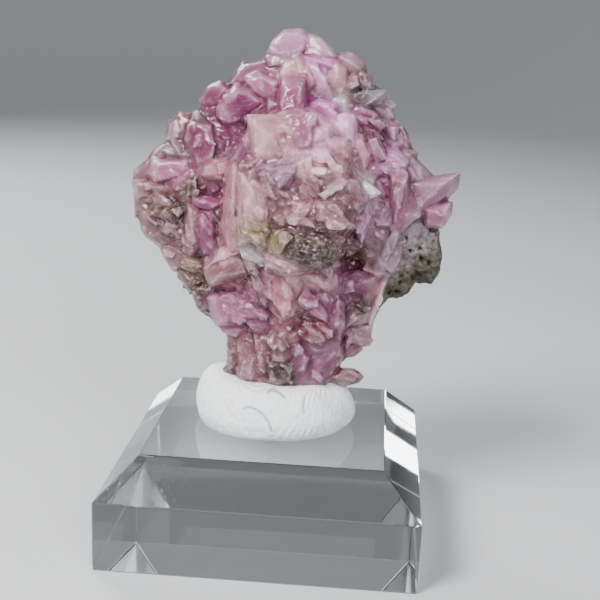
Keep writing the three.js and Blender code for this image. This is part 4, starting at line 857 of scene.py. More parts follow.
BETWEEN = (
    ("raspberry", 0.8, 0.2, 0, (-1.2, 54.2), (-0.1, 54.1), (0, 52.1), (-1.5, 52.2)),
    ("plum", 1.6, 0.2, 0, (10.4, 50.4), (11.2, 50.4), (12.4, 48), (11.6, 47.6), (10.7, 48.6)),
    ("dusty_pink", 1.6, 0, -0.1, (2, 42.6), (3.6, 42.8), (3.9, 41.4), (2.4, 40.9), (1.8, 41.4)),
    ("wine", 0, -0.4, -0.1, (13.8, 51.8), (15.1, 50.3), (15.7, 48.8), (14.8, 48.6), (13.8, 50)),
    ("umber", 1.6, 0.2, 0, (-10.6, 44.6), (-9.6, 44.8), (-9.4, 42.8), (-10.6, 42.6)),
    ("grey_pink", 0.9, 0, -0.3, (7.4, 57.4), (8.8, 57.6), (9.1, 56.5), (8.2, 55.9), (7.2, 56.3)),
    ("plum", 0.4, -0.2, 0, (-7.4, 49.8), (-5.8, 49.4), (-5.4, 47.8), (-7, 46.8), (-8, 48)),
    ("wine", 0.3, -0.4, -0.2, (9.2, 58.3), (10.3, 57.3), (10.4, 56.5), (9.4, 56.3), (8.8, 57.2)),
    ("mauve", 2, 0, -0.3, (8.4, 45.4), (8.2, 44.9), (6.6, 44.6), (5.6, 43.7), (5.4, 44.4), (6.4, 45.2),
     (7.6, 45.7)),
    ("maroon", 1.2, 0, 0, (-4.3, 46.6), (-3.2, 46.8), (-2, 47), (-2.2, 45.6), (-3.2, 45), (-4.2, 45.4)),
    ("raspberry", 0.3, 0.2, 0, (-8.8, 53.4), (-9.4, 52.2), (-8.4, 50.9), (-6.9, 51.4), (-6.6, 53.1)),
    ("frost", 1.9, -0.3, -0.3, (6, 54.2), (6.9, 54.3), (7.1, 53.1), (6.3, 52.8)),
    ("heather", 0, -0.2, 0.2, (10.6, 46), (13.4, 46.2), (13.3, 44.2), (12.6, 42.7), (11.4, 43)),
    ("mauve", 0.9, 0.2, 0, (12.5, 37.6), (13.2, 37.2), (13.4, 35.6), (12.8, 34.7), (11.9, 35.4), (11.8, 37)),
    ("clay", 0.4, 0, 0.3, (7.6, 39.6), (9.4, 39.3), (10.4, 38), (9, 36.8), (7.7, 37.4)),
    ("wine", 0.8, 0, 0, (-4, 52.2), (-3, 52.4), (-3, 51.2), (-3.8, 51)),
    ("brown_pink", 1.2, 0, -0.2, (-1.9, 44.2), (-0.6, 44.6), (1.4, 43.8), (1.2, 42), (-0.4, 41.8)),
    ("peach", 1.6, 0, -0.4, (2.6, 52.9), (4.2, 53), (5.2, 52), (4.4, 51.2), (3, 52)),
    ("peach", 2.4, 0, 0, (4, 46.6), (5.2, 46.6), (6.1, 46.3), (5.6, 45.9), (4.2, 46)),
    ("mauve", 1.2, 0.8, -0.2, (-13, 49.4), (-12.7, 51), (-11.9, 51.5), (-11.4, 50.4), (-12.2, 48.8)),
    ("raspberry", 2.1, 0.3, -0.3, (-10, 49.6), (-9.2, 49.8), (-9, 48.6), (-10, 48.4)),
    ("heather", 0.6, 0, 0.2, (-9.2, 44.8), (-7.6, 44.8), (-6.2, 44.4), (-6.4, 42.6), (-8.2, 42.4),
     (-9.6, 43.2)),
    ("umber", 0.4, 0, 0, (-8.4, 41.2), (-6.8, 41.4), (-6.2, 39.6), (-7, 38.4), (-8, 39.2)),
    ("wine", 0.8, 0, 0, (-6.9, 40.2), (-6.1, 40), (-6, 37), (-6.7, 36.6)),
    ("umber", 0.3, 0, 0, (-9.6, 31.6), (-8, 32), (-6.8, 30.2), (-7.2, 28.4), (-8.4, 28.9)),
    ("wine", 1, 0, 0, (-8.4, 35.6), (-7, 35.8), (-6.4, 34.8), (-7.4, 34), (-8.4, 34.2)),
    ("maroon", 1.2, 0.7, -0.1, (-7.8, 30.6), (-6.6, 31.4), (-5.9, 30.4), (-6, 28), (-6.8, 27.6), (-7.2, 29)),
    ("lilac", 1.2, 0.1, 0.2, (5, 32.2), (6.4, 32), (6.8, 30.8), (5.8, 30.2), (4.4, 31.4)),
    ("umber", 0.4, 0, 0, (2.8, 30.4), (4, 29.6), (5.8, 28.4), (5.4, 27.9), (3.6, 28.2), (2.6, 29.4)),
    ("grey_pink", 0.9, 0, 0, (9, 29.3), (11.3, 29.7), (11.1, 28.6), (9.3, 28.2)),
    ("rose", 0.4, 0, -0.3, (-2.4, 28), (-1, 28.3), (-0.3, 27.2), (-1.2, 26.4), (-2.2, 26.6)),
    ("dusty_pink", 0.6, 0, 0, (-6.2, 27.4), (-4.4, 27.9), (-3.6, 26.8), (-4.9, 26), (-5.9, 26.3)),
    ("brown_pink", 0.8, 0, 0, (2.4, 26.9), (3.3, 27.2), (3.4, 25.6), (2.4, 25.2), (1.6, 25.9)),
    ("lilac", 1.4, 0, 0, (5, 22), (6, 22.2), (6.2, 21), (5.2, 20.9)),
    ("dusk", 1.3, -0.2, 0, (7, 24.8), (8.6, 24.6), (8.4, 23), (7.4, 21.6), (6.8, 22.4)),
    ("brown_pink", 0.7, 0.2, -0.1, (11.1, 33.4), (12.3, 33), (11.6, 30.8), (10.5, 31)),
    ("mauve", 0.5, 0.3, 0.1, (10.3, 30.8), (11.3, 30.4), (10.6, 27.9), (9.5, 28.4)),
    ("lilac", 0.6, 0.3, 0, (9.3, 28.1), (10.3, 27.6), (9.2, 25), (8.3, 25.6)),
)
CRYSTALS = CROWN + RIGHT_SHOULDER + MIDDLE_CLUSTER + LEFT_SHOULDER + BELOW_CLUSTER + FOOT + BETWEEN
CRYSTAL_DEPTH = 3.4  # from the face back into the crust
GROUND_DROP = 0.5  # from the crystals' general level back to the ground between them
GROUND_REACH = 1.1
GROUND_RINGS = 30
FRONT_LIMIT = -1.2  # the crust's front and the ground never lie deeper than these
GROUND_LIMIT = -0.8
BLUNT = 0.075  # half-width of the worn edges
GROWTH_BLUNT = 0.02
RIDGED = 0.62  # a crystal's own number above this makes it a long ridge,
PEAKED = 0.3  # above this a blunt point, and below it a flat face with a bevelled rim
CLEFT = 0.22  # how far in the cleavage planes may cut a crystal, of its half-width
GROWTHS_PER_MM2 = 1.0
GROWTH_REACH = 0.85
EYE_DEPTH = -30.0  # well in front of the crust
GROWTH_SEED = 2000  # the growths' own numbers start here, and the rim's below
RIM_SEED = 700
RIM_PITCH = 3.9  # of the pointed crystals that stand outwards round the crust's edge
RIM_DEPTHS = (-0.4, -2)
RIM_ROOT = 2  # how far inside the edge they start
RIM_LENGTH = 1.6
RIM_WIDTH = 3.0
RIM_STRAY = 0.6
RIM_TONES = ("grey_pink", "dusk", "mauve", "grey_mauve", "beige_pink")
AXIS_TILT = math.radians(44.6)  # between a cleavage face's normal and the crystal's main axis
CROWDED = (  # where low points crowd the big crystals: seen x and z, reach across and tall, amount
    (2, 41, 8.5, 9, 1.0), (-13.5, 39.5, 4, 5.5, 0.7), (-1.5, 23, 4, 4, 0.7), (12.5, 50, 3.5, 7, 0.9),
    (0, 31, 5, 4, 0.6), (-9.5, 31, 3, 4, 0.5), (10.5, 26, 2.5, 5, 0.5))
GRITTY = ("umber", "tan", "clay", "peach")  # tones of the crystals that druses cover
SIX_WAYS = np.array([(1, 0, 0), (-1, 0, 0), (0, 1, 0), (0, -1, 0), (0, 0, 1), (0, 0, -1)])


def crust_front(x, z):
    """Depth of the crust's front: a low dome, the proud middle cluster and two deep pockets."""
    share = np.minimum(1.2, edge_share(x, z))
    dome = -2.2 - 4.4 * (1 - share * share)
    in_cluster = 1 - ((x - 2) / 8.6) ** 2 - ((z - 44) / 10.6) ** 2
    cluster = 5.2 * np.clip(in_cluster * 2.2, 0, 1)
    pockets = 4 * swelling(x, z, 9.2, 35.6, 2, 1.8) + 1.6 * swelling(x, z, -7, 43.4, 2, 2)
    return np.minimum(dome - cluster + pockets, FRONT_LIMIT)


def crowding(x, z):
    """How thick the low points stand on the crystals at (x, z), from 0 to about 1."""
    return 0.1 + sum(amount * swelling(x, z, *where) for *where, amount in CROWDED)


class Solid:
    """A closed form with blunted corners, its tint, its grain and whether a druse covers it."""

    def __init__(self, sharp, buried, tint, grain, blunt=BLUNT, druse=0.0):
        sharp = np.asarray(sharp, float)
        wear_and_glint = (sharp[:, None, :] + SIX_WAYS[None, :, :] * blunt).reshape(-1, 3)
        self.points, self.faces = hull(np.vstack([wear_and_glint, buried]) if len(buried) else wear_and_glint)
        self.tint = tint
        self.grain = grain
        self.druse = druse


def clipped(points, direction, limit):
    """What a plane leaves of a convex form."""
    height = points @ direction - limit
    inside, outside = height <= 0, height > 0
    if not outside.any() or not inside.any():
        return points
    share = height[inside][:, None] / (height[inside][:, None] - height[outside][None, :])
    crossing = points[inside][:, None] + share[..., None] * (
        points[outside][None] - points[inside][:, None])
    return hull(np.vstack([points[inside], crossing.reshape(-1, 3)]))[0]


def lattice(normal, i):
    """The three cleavage directions of a calcite crystal whose main face has a given normal."""
    side = np.cross(normal, (0.3, 0.1, 1.0))
    side /= np.linalg.norm(side)
    turn = jitter(i, 81) * 2 * math.pi
    out = math.cos(turn) * side + math.sin(turn) * np.cross(normal, side)
    axis = Vector(math.cos(AXIS_TILT) * normal + math.sin(AXIS_TILT) * out)
    thirds = [Matrix.Rotation(k * 2 * math.pi / 3, 3, axis) for k in range(3)]
    return np.array([third @ Vector(normal) for third in thirds])


def faced_crystal(row, i):
    """The solids of one crystal: its body, and the low points that have grown on its front."""
    name, up, rise_x, rise_z, *corners = row
    corners = np.array(corners, float)
    middle = corners.mean(0)
    face = crust_front(*middle) - up
    lean = np.array([rise_x + spread(i, 1, 0.25), rise_z + spread(i, 2, 0.25)])
    tint = np.array(tone(TONES[name])[:3]) * (1 + spread(i, 6, 0.1))
    normal = np.array([-lean[0], -1, -lean[1]])
    planes = lattice(normal / np.linalg.norm(normal), i)
    long_way = corners[np.argmax(np.linalg.norm(corners - middle, axis=1))] - middle
    grain = np.array([long_way[0], -lean @ long_way, long_way[1]])
    grain /= np.linalg.norm(grain)
    gritty = 1.0 if name in GRITTY else 0.0

    def at(inward, below):
        seen = middle + inward
        return place(seen[:, 0], seen[:, 1], face + below - inward @ lean)

    out = corners - middle
    reach = np.linalg.norm(out, axis=1)
    size = reach.mean()
    count = len(corners)
    turn = np.arange(count) % 2
    ridge = int(np.argmax(reach))
    across = (ridge + count // 2) % count
    low = np.full(count, 1.0)
    low[[ridge, across]] = 0.35
    style = jitter(i, 20)
    inner = min(1.0, float(edge_share(*middle)))
    slope = 0.28 * size + 0.06
    if style > RIDGED:
        top = [at(out[[ridge, across]] * 0.62, np.array([-0.12, -0.02]) * size)]
        sides = at(out * 0.92, slope * low)
    elif style > PEAKED:
        peak = out[ridge] * 0.3
        top = [at(np.array([peak]), np.array([-0.14 * size]))]
        sides = at(out * 0.9, slope * (0.55 + 0.5 * turn))
    else:
        top = [at(out * (0.66 + 0.14 * turn[:, None]), np.zeros(count))]
        sides = at(out * 0.96, slope * (0.45 + 0.5 * turn))
    sharp = np.vstack([*top, sides, at(out * (1.3 - 0.12 * inner), slope * 2.3 + 0.25)])
    root = middle + out * (1.34 - 0.14 * inner)
    buried = place(root[:, 0], root[:, 1], face + CRYSTAL_DEPTH)
    for plane, k in ((planes[1], 90), (planes[2], 91), (-planes[1], 92), (-planes[2], 93)):
        far = (sharp @ plane).max()
        near = (sharp @ plane).mean()
        sharp = clipped(sharp, plane, far - (far - near) * CLEFT * jitter(i, k))
    body = Solid(sharp, buried, tint, grain, druse=gritty)
    return [body, *growths(body, corners, i)]


def growths(body, corners, i):
    """Low, angular points that have grown all over a crystal's front."""
    skin = bvhtree.BVHTree.FromPolygons(body.points.tolist(), body.faces)
    middle = corners.mean(0)
    out = corners - middle
    area = abs(np.cross(out, np.roll(out, -1, axis=0)).sum()) / 2
    made = []
    for k in range(int(area * GROWTHS_PER_MM2 * crowding(*middle) + jitter(i, 60))):
        j = GROWTH_SEED + 60 * i + k
        side = int(jitter(j, 1) * len(corners))
        share, along = math.sqrt(jitter(j, 2)) * 0.95, jitter(j, 3)
        x, z = middle + share * (out[side] * (1 - along) + out[(side + 1) % len(corners)] * along)
        eye = place(x, z, EYE_DEPTH)
        line = Vector(place(x, z, 0.0) - eye).normalized()
        spot, facing, *_ = skin.ray_cast(Vector(eye), line)
        if spot is None:
            continue
        facing = np.array(facing)
        lengthwise = body.grain - (body.grain @ facing) * facing
        lengthwise /= np.linalg.norm(lengthwise)
        sideways = np.cross(facing, lengthwise)
        reach = GROWTH_REACH * (0.55 + 0.9 * jitter(j, 4) ** 2)
        rise = reach * (0.16 + 0.24 * jitter(j, 5))
        count = 4 + int(3 * jitter(j, 6))
        turns = np.arange(count) + [0.7 * jitter(j, 20 + n) for n in range(count)]
        turns = turns * 2 * math.pi / count
        rim = np.column_stack([1.35 * np.cos(turns), 0.85 * np.sin(turns)])
        rim *= reach * np.array([0.8 + 0.4 * jitter(j, 30 + n) for n in range(count)])[:, None]
        ridge = rim[[0, count // 2]] * np.array([[0.15 + 0.4 * jitter(j, 7)], [0.1 + 0.3 * jitter(j, 8)]])
        rings = ((ridge, rise * np.array([1, 0.6 + 0.4 * jitter(j, 9)])), (rim, 0 * turns),
                 (rim * 0.9, 0 * turns - reach))
        points = np.vstack([
            np.array(spot) + ring[:, :1] * lengthwise + ring[:, 1:] * sideways + height[:, None] * facing
            for ring, height in rings])
        tint = body.tint * (1 + spread(j, 10, 0.12))
        made.append(Solid(points, [], tint, body.grain, GROWTH_BLUNT, body.druse))
    return made


def pointed_crystal(tail, tip, width, i, tint):
    """A small pointed crystal from tail to tip, its corners stepping up and down by turns."""
    axis = tip - tail
    side = np.array([-axis[2], 0, axis[0]])
    side /= np.linalg.norm(side)
    across = np.cross(axis, side)
    across /= np.linalg.norm(across)
    points = [tip]
    buried = []
    for share, step in ((0, 0), (0.62, 0.07)):
        for corner in range(4):
            angle = corner * math.pi / 2 + spread(i, 8 + corner, 0.3)
            point = tail + axis * (share + (step if corner % 2 else -step))
            point = point + side * math.cos(angle) * width / 2 + across * math.sin(angle) * width / 2
            (points if share else buried).append(point)
    return Solid(points, buried, tint, side)


def rim_crystals():
    """Crystals that stand outwards all round the edge of the crust."""
    made = []
    travelled = 0.0
    outline = np.array(CRUST_OUTLINE, float)
    for here, there in zip(outline, np.roll(outline, -1, axis=0)):
        length = np.linalg.norm(there - here)
        out = np.array([here[1] - there[1], there[0] - here[0]]) / length
        while travelled < length:
            i = RIM_SEED + len(made)
            x, z = here + (there - here) * travelled / length
            travelled += RIM_PITCH
            depth = seam(x, z) + RIM_DEPTHS[len(made) % 2]
            size = 0.8 + 0.45 * jitter(i, 6)
            reach = RIM_LENGTH * size * 0.5
            tail = place(x - out[0] * RIM_ROOT, z - out[1] * RIM_ROOT, depth)
            tip = place(x + out[0] * reach + spread(i, 4, RIM_STRAY),
                        z + out[1] * reach + spread(i, 5, RIM_STRAY), depth - 0.8 + spread(i, 3, 1))
            tint = np.array(tone(TONES[RIM_TONES[i % len(RIM_TONES)]])[:3])
            made.append(pointed_crystal(tail, tip, RIM_WIDTH * size, i, tint))
        travelled -= length
    return made


def ground(x, z):
    """Depth between the crystals, a little behind the general level of those near by."""
    x, z = (np.asarray(v, float) for v in (x, z))
    middles = np.array([np.mean(row[4:], axis=0) for row in CRYSTALS])
    ups = np.array([row[1] for row in CRYSTALS])
    apart = (x[..., None] - middles[:, 0]) ** 2 + (z[..., None] - middles[:, 1]) ** 2
    pull = np.exp(-apart / (2 * GROUND_REACH ** 2)) + 1e-9
    level = (pull * ups).sum(-1) / pull.sum(-1)
    return np.minimum(crust_front(x, z) - level + GROUND_DROP, GROUND_LIMIT)


def crust_back(x, z):
    return seam(x, z) + 0.4


# Most of the shine comes back from cleavage planes inside a crystal, and so carries its tint.
REFLECTED = (1.0, 0.68, 0.86, 1.0)
CLOUD_STAIN = (1.25, 1.5, 1.4, 1.0)  # a stain above 1 makes a colour paler
PALE_STAIN = (1.15, 1.3, 1.25, 1.0)


def calcite_finish():
    finish = Finish("cobaltoan_calcite")
    tint = finish.stored("tint", output="Color")
    grain = finish.stored("grain", output="Vector")
    wear_and_glint, sunk_shade, hackly, painted_glow_and_shade, gritty = (
        finish.stored(name) for name in ("wear_and_glint", "sunk_shade", "hackly", "painted_glow_and_shade", "gritty"))
    along = finish.vector("DOT_PRODUCT", finish.place, grain, output="Value")

    def drawn_out(share):
        """Places drawn together along each crystal, so that patterns on them are drawn out."""
        back = finish.add("ShaderNodeVectorMath", {"operation": "SCALE"}, {0: grain, "Scale": along * -share})
        return finish.vector("ADD", finish.place, back)

    drawn = drawn_out(0.6)

    def chequered(size):
        """A value of its own for each cleavage face of a given size."""
        colours = finish.cells(size, where=drawn, output="Color")
        return finish.vector("DOT_PRODUCT", colours, (1, 0, 0), output="Value")

    def facets(size, tilt):
        """Flat faces that lean this way and that, drawn out along each crystal."""
        colours = finish.cells(size, where=drawn, output="Color")
        middle = Signal(finish, colours.socket.node.outputs["Position"])
        lean = finish.add("ShaderNodeVectorMath", {"operation": "MULTIPLY_ADD"}, {
            0: colours, 1: (tilt,) * 3, 2: (-tilt / 2,) * 3})
        off = finish.vector("SUBTRACT", drawn, middle)
        return finish.vector("DOT_PRODUCT", off, lean, output="Value")

    def cleaved(size, width):
        """1 on the thin edges between the faces of a given size, 0 on the faces."""
        gap = finish.cells(size, feature="DISTANCE_TO_EDGE", where=drawn)
        return finish.band(gap, width / size, 0.0)

    fibres = finish.noise(0.34, detail=3, roughness=0.6, where=drawn_out(0.93))
    veils = finish.noise(1.3, detail=5, roughness=0.65)
    clear = finish.band(finish.noise(2.1, detail=3, distortion=0.4), 0.52, 0.68)
    painted_glints = finish.noise(0.3, detail=3, roughness=0.7)
    crumbs = finish.noise(0.7, detail=4, roughness=0.7)
    crumbly = (finish.band(finish.noise(2.6, detail=2), 0.5, 0.62) * 0.5).greater(gritty)

    # Inside the crystals: clouded and clear stretches and a mottling of cleavage faces; then a pale glow
    # painted on the raised parts as painted light, and painted shade that darkens the hollows and the sunk
    # stretches.
    colour = finish.blend(finish.band(veils, 0.48, 0.7) * 0.5, tint, finish.stained(tint, CLOUD_STAIN))
    colour = finish.blend(clear * 0.3, colour, finish.stained(colour, tone("#C9B2BE")))
    mottling = chequered(0.9) * 0.4 + chequered(0.5) * 0.35 + fibres * 0.25 - 0.5
    darker, paler = finish.stained(colour, tone("#C9BFC4")), finish.stained(colour, PALE_STAIN)
    colour = finish.blend(0.55 + mottling * (hackly * 0.8 + 0.2), darker, paler)
    # Painted light: raised parts grow paler, a glow painted as if light came through thin edges.
    colour = finish.blend(finish.band(painted_glow_and_shade, 0.1, 0.9, 0.0, 0.12), colour, tone("#EDD3DE"))
    # Painted shade: hollows grow darker.
    hollow_shade = finish.band(painted_glow_and_shade, -0.1, -0.9, 0.0, 0.3)
    colour = finish.blend(hollow_shade, colour, finish.stained(colour, tone("#BFADB6")))
    # Painted shade: where the skin lies sunk below its wide surroundings the colour darkens.
    colour = finish.blend(sunk_shade * 0.8, colour, finish.stained(colour, tone("#A58C99")))

    # On them: grit and crumbs on the druses; painted highlights on the convex corners, painted glints, and
    # pale lines painted as highlights along the cleavage edges, broken up.
    grit = finish.band(crumbs, 0.3, 0.5, 0.28, 0.0) * gritty
    colour = finish.blend(grit, colour, finish.stained(colour, tone("#9C9A90")))
    colour = finish.blend(finish.band(crumbs, 0.54, 0.7) * gritty * 0.4, colour, tone("#C9BEA6"))
    # Painted highlights: pale strokes on the convex corners where the glint noise is high.
    colour = finish.blend(wear_and_glint * finish.band(painted_glints, 0.4, 0.62) * 0.5, colour, tone("#F0E2E8"))
    # Painted glints: pale flecks scattered at random.
    colour = finish.blend(finish.band(painted_glints, 0.66, 0.74) * 0.4, colour, tone("#F6ECE8"))
    # Painted highlights: thin pale lines along the cleavage-face edges, broken up by noise.
    broken = finish.band(finish.noise(1.1, detail=3), 0.42, 0.62)
    edges = (cleaved(1.5, 0.09) + cleaved(0.7, 0.06)) * broken * (hackly * 0.9 + 0.1)
    colour = finish.blend(edges * 0.14, colour, tone("#F4E6EA"))

    fine_steps = facets(0.4, 1.2) * ((crumbly + 0.2) * hackly + wear_and_glint * 0.3 + 0.02)
    relief = facets(1.5, 0.45) * (hackly * 0.9 + 0.1) + facets(0.7, 0.5) * hackly + fine_steps
    relief = relief + (fibres * 0.05 + veils * 0.06) * hackly + edges * 0.05
    crystal = finish.add("ShaderNodeBsdfPrincipled", {}, {
        "Base Color": colour,
        "Roughness": finish.band(veils, 0.3, 0.7, 0.08, 0.19),
        "IOR": 1.55,
        "Specular Tint": REFLECTED,
        "Transmission Weight": 0.12,
        "Subsurface Weight": 0.6,
        "Subsurface Radius": (1.0, 0.75, 0.95),
        "Subsurface Scale": 1.9 * MM,
        "Normal": finish.bump(relief, 1.0, 1.0),
    })
    return finish.close(crystal)


solids = [solid for i, row in enumerate(CRYSTALS) for solid in faced_crystal(row, i)]
solids += rim_crystals()
ground_points, ground_faces = pillow(CRUST_OUTLINE, ground, crust_back, rings=GROUND_RINGS)
calcite = calcite_finish()
crust = joined("calcite_crust", [
    (ground_points, ground_faces), *((s.points, s.faces) for s in solids)], calcite)


def on_faces(of_ground, of_solids):
    """A row for every face of the crust: the same one for all of the ground's, then each solid's."""
    rows = [np.tile(own, (len(s.faces), 1)) for own, s in zip(of_solids, solids)]
    return np.vstack([np.tile(of_ground, (len(ground_faces), 1)), *rows])


store(crust.data, "tint", on_faces((0, 0, 0, 0), [(*s.tint, 1) for s in solids]), "FLOAT_COLOR", "FACE")
store(crust.data, "grain", on_faces((1, 0, 0), [s.grain for s in solids]), "FLOAT_VECTOR", "FACE")
store(crust.data, "druse", on_faces((1,), [(s.druse,) for s in solids]), domain="FACE")

# One tiny crystal of the druses: a six-sided prism with a three-faced tip, a millimetre high.
SEED_RADIUS = 0.42
SEED_FOOT = -0.5
SEED_SHOULDER = 0.3
SEED_STEP = 0.16  # of its shoulder's corners, up and down by turns
SEED_TIP = 0.62
SEED_TILT = (0.7, 0.7, 3.1)  # radians either way
SEED_SPACING = 0.9
SEEDS_PER_M2 = 3e5
SEED_SIZES = (0.35, 0.8)


def seed_shape():
    corner = np.arange(6)
    x, y = SEED_RADIUS * np.cos(corner * math.pi / 3), SEED_RADIUS * np.sin(corner * math.pi / 3)
    foot = np.column_stack([x, y, np.full(6, SEED_FOOT)])
    shoulder = np.column_stack([x, y, SEED_SHOULDER + SEED_STEP * (-1) ** corner])
    return hull(np.vstack([foot, shoulder, [(0, 0, SEED_TIP)]]))


seed = set_piece("seed_crystal", *seed_shape(), calcite)
grow = Recipe("druse", Spacing="FLOAT", Crowding="FLOAT", Smallest="FLOAT", Largest="FLOAT",
              Crystal="OBJECT", Finish="MATERIAL", Seed="INT")
mass = grow.parts()
scatter = grow.tree.nodes.new("GeometryNodeDistributePointsOnFaces")
scatter.distribute_method = "POISSON"
for label, value in (("Mesh", "Geometry"), ("Distance Min", "Spacing"), ("Density Max", "Crowding"),
                     ("Seed", "Seed")):
    grow.tree.links.new(grow.given[value], scatter.inputs[label])
covered = grow.add("GeometryNodeInputNamedAttribute", {"data_type": "FLOAT"}, {"Name": "druse"})
grow.tree.links.new(covered, scatter.inputs["Density Factor"])
tilt = grow.add("FunctionNodeRandomValue", {"data_type": "FLOAT_VECTOR"}, {
    0: tuple(-most for most in SEED_TILT), 1: SEED_TILT, "Seed": 3})
turned = grow.add("FunctionNodeRotateRotation", {"rotation_space": "LOCAL"}, {
    "Rotation": scatter.outputs["Rotation"],
    "Rotate By": grow.add("FunctionNodeEulerToRotation", {}, {"Euler": tilt})})
size = grow.add("FunctionNodeRandomValue", {}, {
    2: grow.given["Smallest"], 3: grow.given["Largest"], "Seed": 5}, output=1)
tiny = grow.add("GeometryNodeInstanceOnPoints", {}, {
    "Points": scatter.outputs["Points"],
    "Instance": grow.add("GeometryNodeObjectInfo", {}, {"Object": grow.given["Crystal"]},
                         output="Geometry"),
    "Rotation": turned, "Scale": size})
grown = grow.add("GeometryNodeRealizeInstances", {}, {"Geometry": grow.union([mass, tiny])})
grown = grow.add("GeometryNodeSetMaterial", {}, {
    "Geometry": grown, "Material": grow.given["Finish"]})
grow.apply(crust, grown, Spacing=SEED_SPACING * MM, Crowding=SEEDS_PER_M2, Smallest=SEED_SIZES[0],
           Largest=SEED_SIZES[1], Crystal=seed, Finish=calcite, Seed=11)
bpy.data.objects.remove(seed)

# The crystals have grown into each other: the crust becomes one skin with its corners worn, and
# every point takes the tint, grain and faces of the crystal that it lies on.
CRUST_GRAIN = 0.15
KEPT_SHARE = 0.38  # of the skin's triangles, where it is flat enough to do with fewer
WEAR_ROUNDS = 2
TINT_ROUNDS = 34  # how far the tints run into each other
GRIT_ROUNDS = 8
NEAR_ROUNDS = 3  # for what stands out from a corner's own, near and wide surroundings
AROUND_ROUNDS = 14
WIDE_ROUNDS = 60
SOFT_ROUNDS = 6  # for the shading of the smooth crystals
EDGE_GLINT_FROM, EDGE_GLINT_RANGE = 0.012, 0.04
GLOW_AND_SHADE_RANGE = 0.12
SUNK_FROM, SUNK_RANGE = 0.05, 0.5


def values_of(items, name, width=3, kind=float):
    """One property of a mesh's points, faces or edges, or of stored values, with a row for each."""
    values = np.zeros(len(items) * width, kind)
    items.foreach_get(name, values)
    return values.reshape(-1, width)


sharp = crust.data
tints = values_of(sharp.attributes["tint"].data, "color", 4)
centres = values_of(sharp.polygons, "center")
untinted = tints[:, 3] <= 0.5
near = kdtree.KDTree(int((~untinted).sum()))
for k in np.flatnonzero(~untinted):
    near.insert(centres[k], k)
near.balance()
for k in np.flatnonzero(untinted):
    tints[k] = tints[near.find(centres[k])[1]]
druse = values_of(sharp.attributes["druse"].data, "value", 1)
druse[untinted] = 1
grains = values_of(sharp.attributes["grain"].data, "vector")
faces_lean = values_of(sharp.polygons, "normal")
skin = bvhtree.BVHTree.FromPolygons([v.co for v in sharp.vertices],
                                    [tuple(p.vertices) for p in sharp.polygons])
rebuild(crust, CRUST_GRAIN)
crust.modifiers.new("thin", "DECIMATE").ratio = KEPT_SHARE
settle(crust)
shell = crust.data
points = values_of(shell.vertices, "co")
pairs = values_of(shell.edges, "vertices", 2, int)
valence = np.bincount(pairs.ravel(), minlength=len(points))[:, None]


def evened(values, rounds):
    """Each point's values, averaged with its neighbours' again and again."""
    for _ in range(rounds):
        total = np.column_stack([
            np.bincount(pairs[:, 0], column[pairs[:, 1]], len(points))
            + np.bincount(pairs[:, 1], column[pairs[:, 0]], len(points)) for column in values.T])
        values = 0.5 * values + 0.5 * total / valence
    return values


def nearest_faces(places):
    """The number of the sharp crust's face nearest to each place."""
    return [skin.find_nearest(Vector(p))[2] for p in places]


found = nearest_faces(points)
worn_points = evened(points, WEAR_ROUNDS)
shell.vertices.foreach_set("co", worn_points.ravel())
shell.update()
normals = values_of(shell.vertices, "normal")


def proud(rounds):
    """How far each point stands out from its evened surroundings, in millimetres."""
    return ((worn_points - evened(worn_points, rounds)) * normals).sum(1) / MM


def seen_at(x, y, z):
    """The seen (x, z) of real points: the opposite of place."""
    reach = (y - SEEN_FROM[1]) / (FACE_Y - SEEN_FROM[1])
    return SEEN_FROM[0] + (x - SEEN_FROM[0]) / reach, SEEN_FROM[2] + (z - SEEN_FROM[2]) / reach


hackly = np.clip(crowding(*seen_at(*(worn_points / MM).T)) * 1.2, 0, 1)
store(shell, "tint", evened(tints[found], TINT_ROUNDS), "FLOAT_COLOR")
store(shell, "gritty", evened(druse[found], GRIT_ROUNDS))
store(shell, "hackly", hackly)
# The convex corners, for the painted highlights and the bump.
store(shell, "wear_and_glint", np.clip((proud(NEAR_ROUNDS) - EDGE_GLINT_FROM) / EDGE_GLINT_RANGE, 0, 1))
# Raised and hollow parts, for the painted glow and painted shade.
store(shell, "painted_glow_and_shade", np.clip(proud(AROUND_ROUNDS) / GLOW_AND_SHADE_RANGE, -1, 1))
# The sunk stretches, for the painted shade.
store(shell, "sunk_shade", np.clip((-proud(WIDE_ROUNDS) - SUNK_FROM) / SUNK_RANGE, 0, 1))
lain_on = nearest_faces(values_of(shell.polygons, "center"))
store(shell, "grain", grains[lain_on], "FLOAT_VECTOR", "FACE")

crisp = evened(faces_lean[found], 1)
crispness = np.clip(0.25 + hackly, 0, 1)[:, None]
facing = crisp * crispness + evened(crisp, SOFT_ROUNDS) * (1 - crispness)
facing /= np.linalg.norm(facing, axis=1)[:, None]
shell.shade_smooth()
shell.normals_split_custom_set_from_vertices(facing.tolist())
shell.materials.clear()
shell.materials.append(calcite)
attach(crust, "root")
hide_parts("calcite_crystals")

# ==== floor, light and camera ====
# A pale, matt floor that curves up all round into a backdrop, under soft studio light.
FLOOR_FLAT = 520.0
FLOOR_RISE = 420.0
FLOOR_DROP = 0.03  # below the block's underside
FLOOR_SECTORS = 96
LIT_HEIGHT = 36.0  # where the lights point


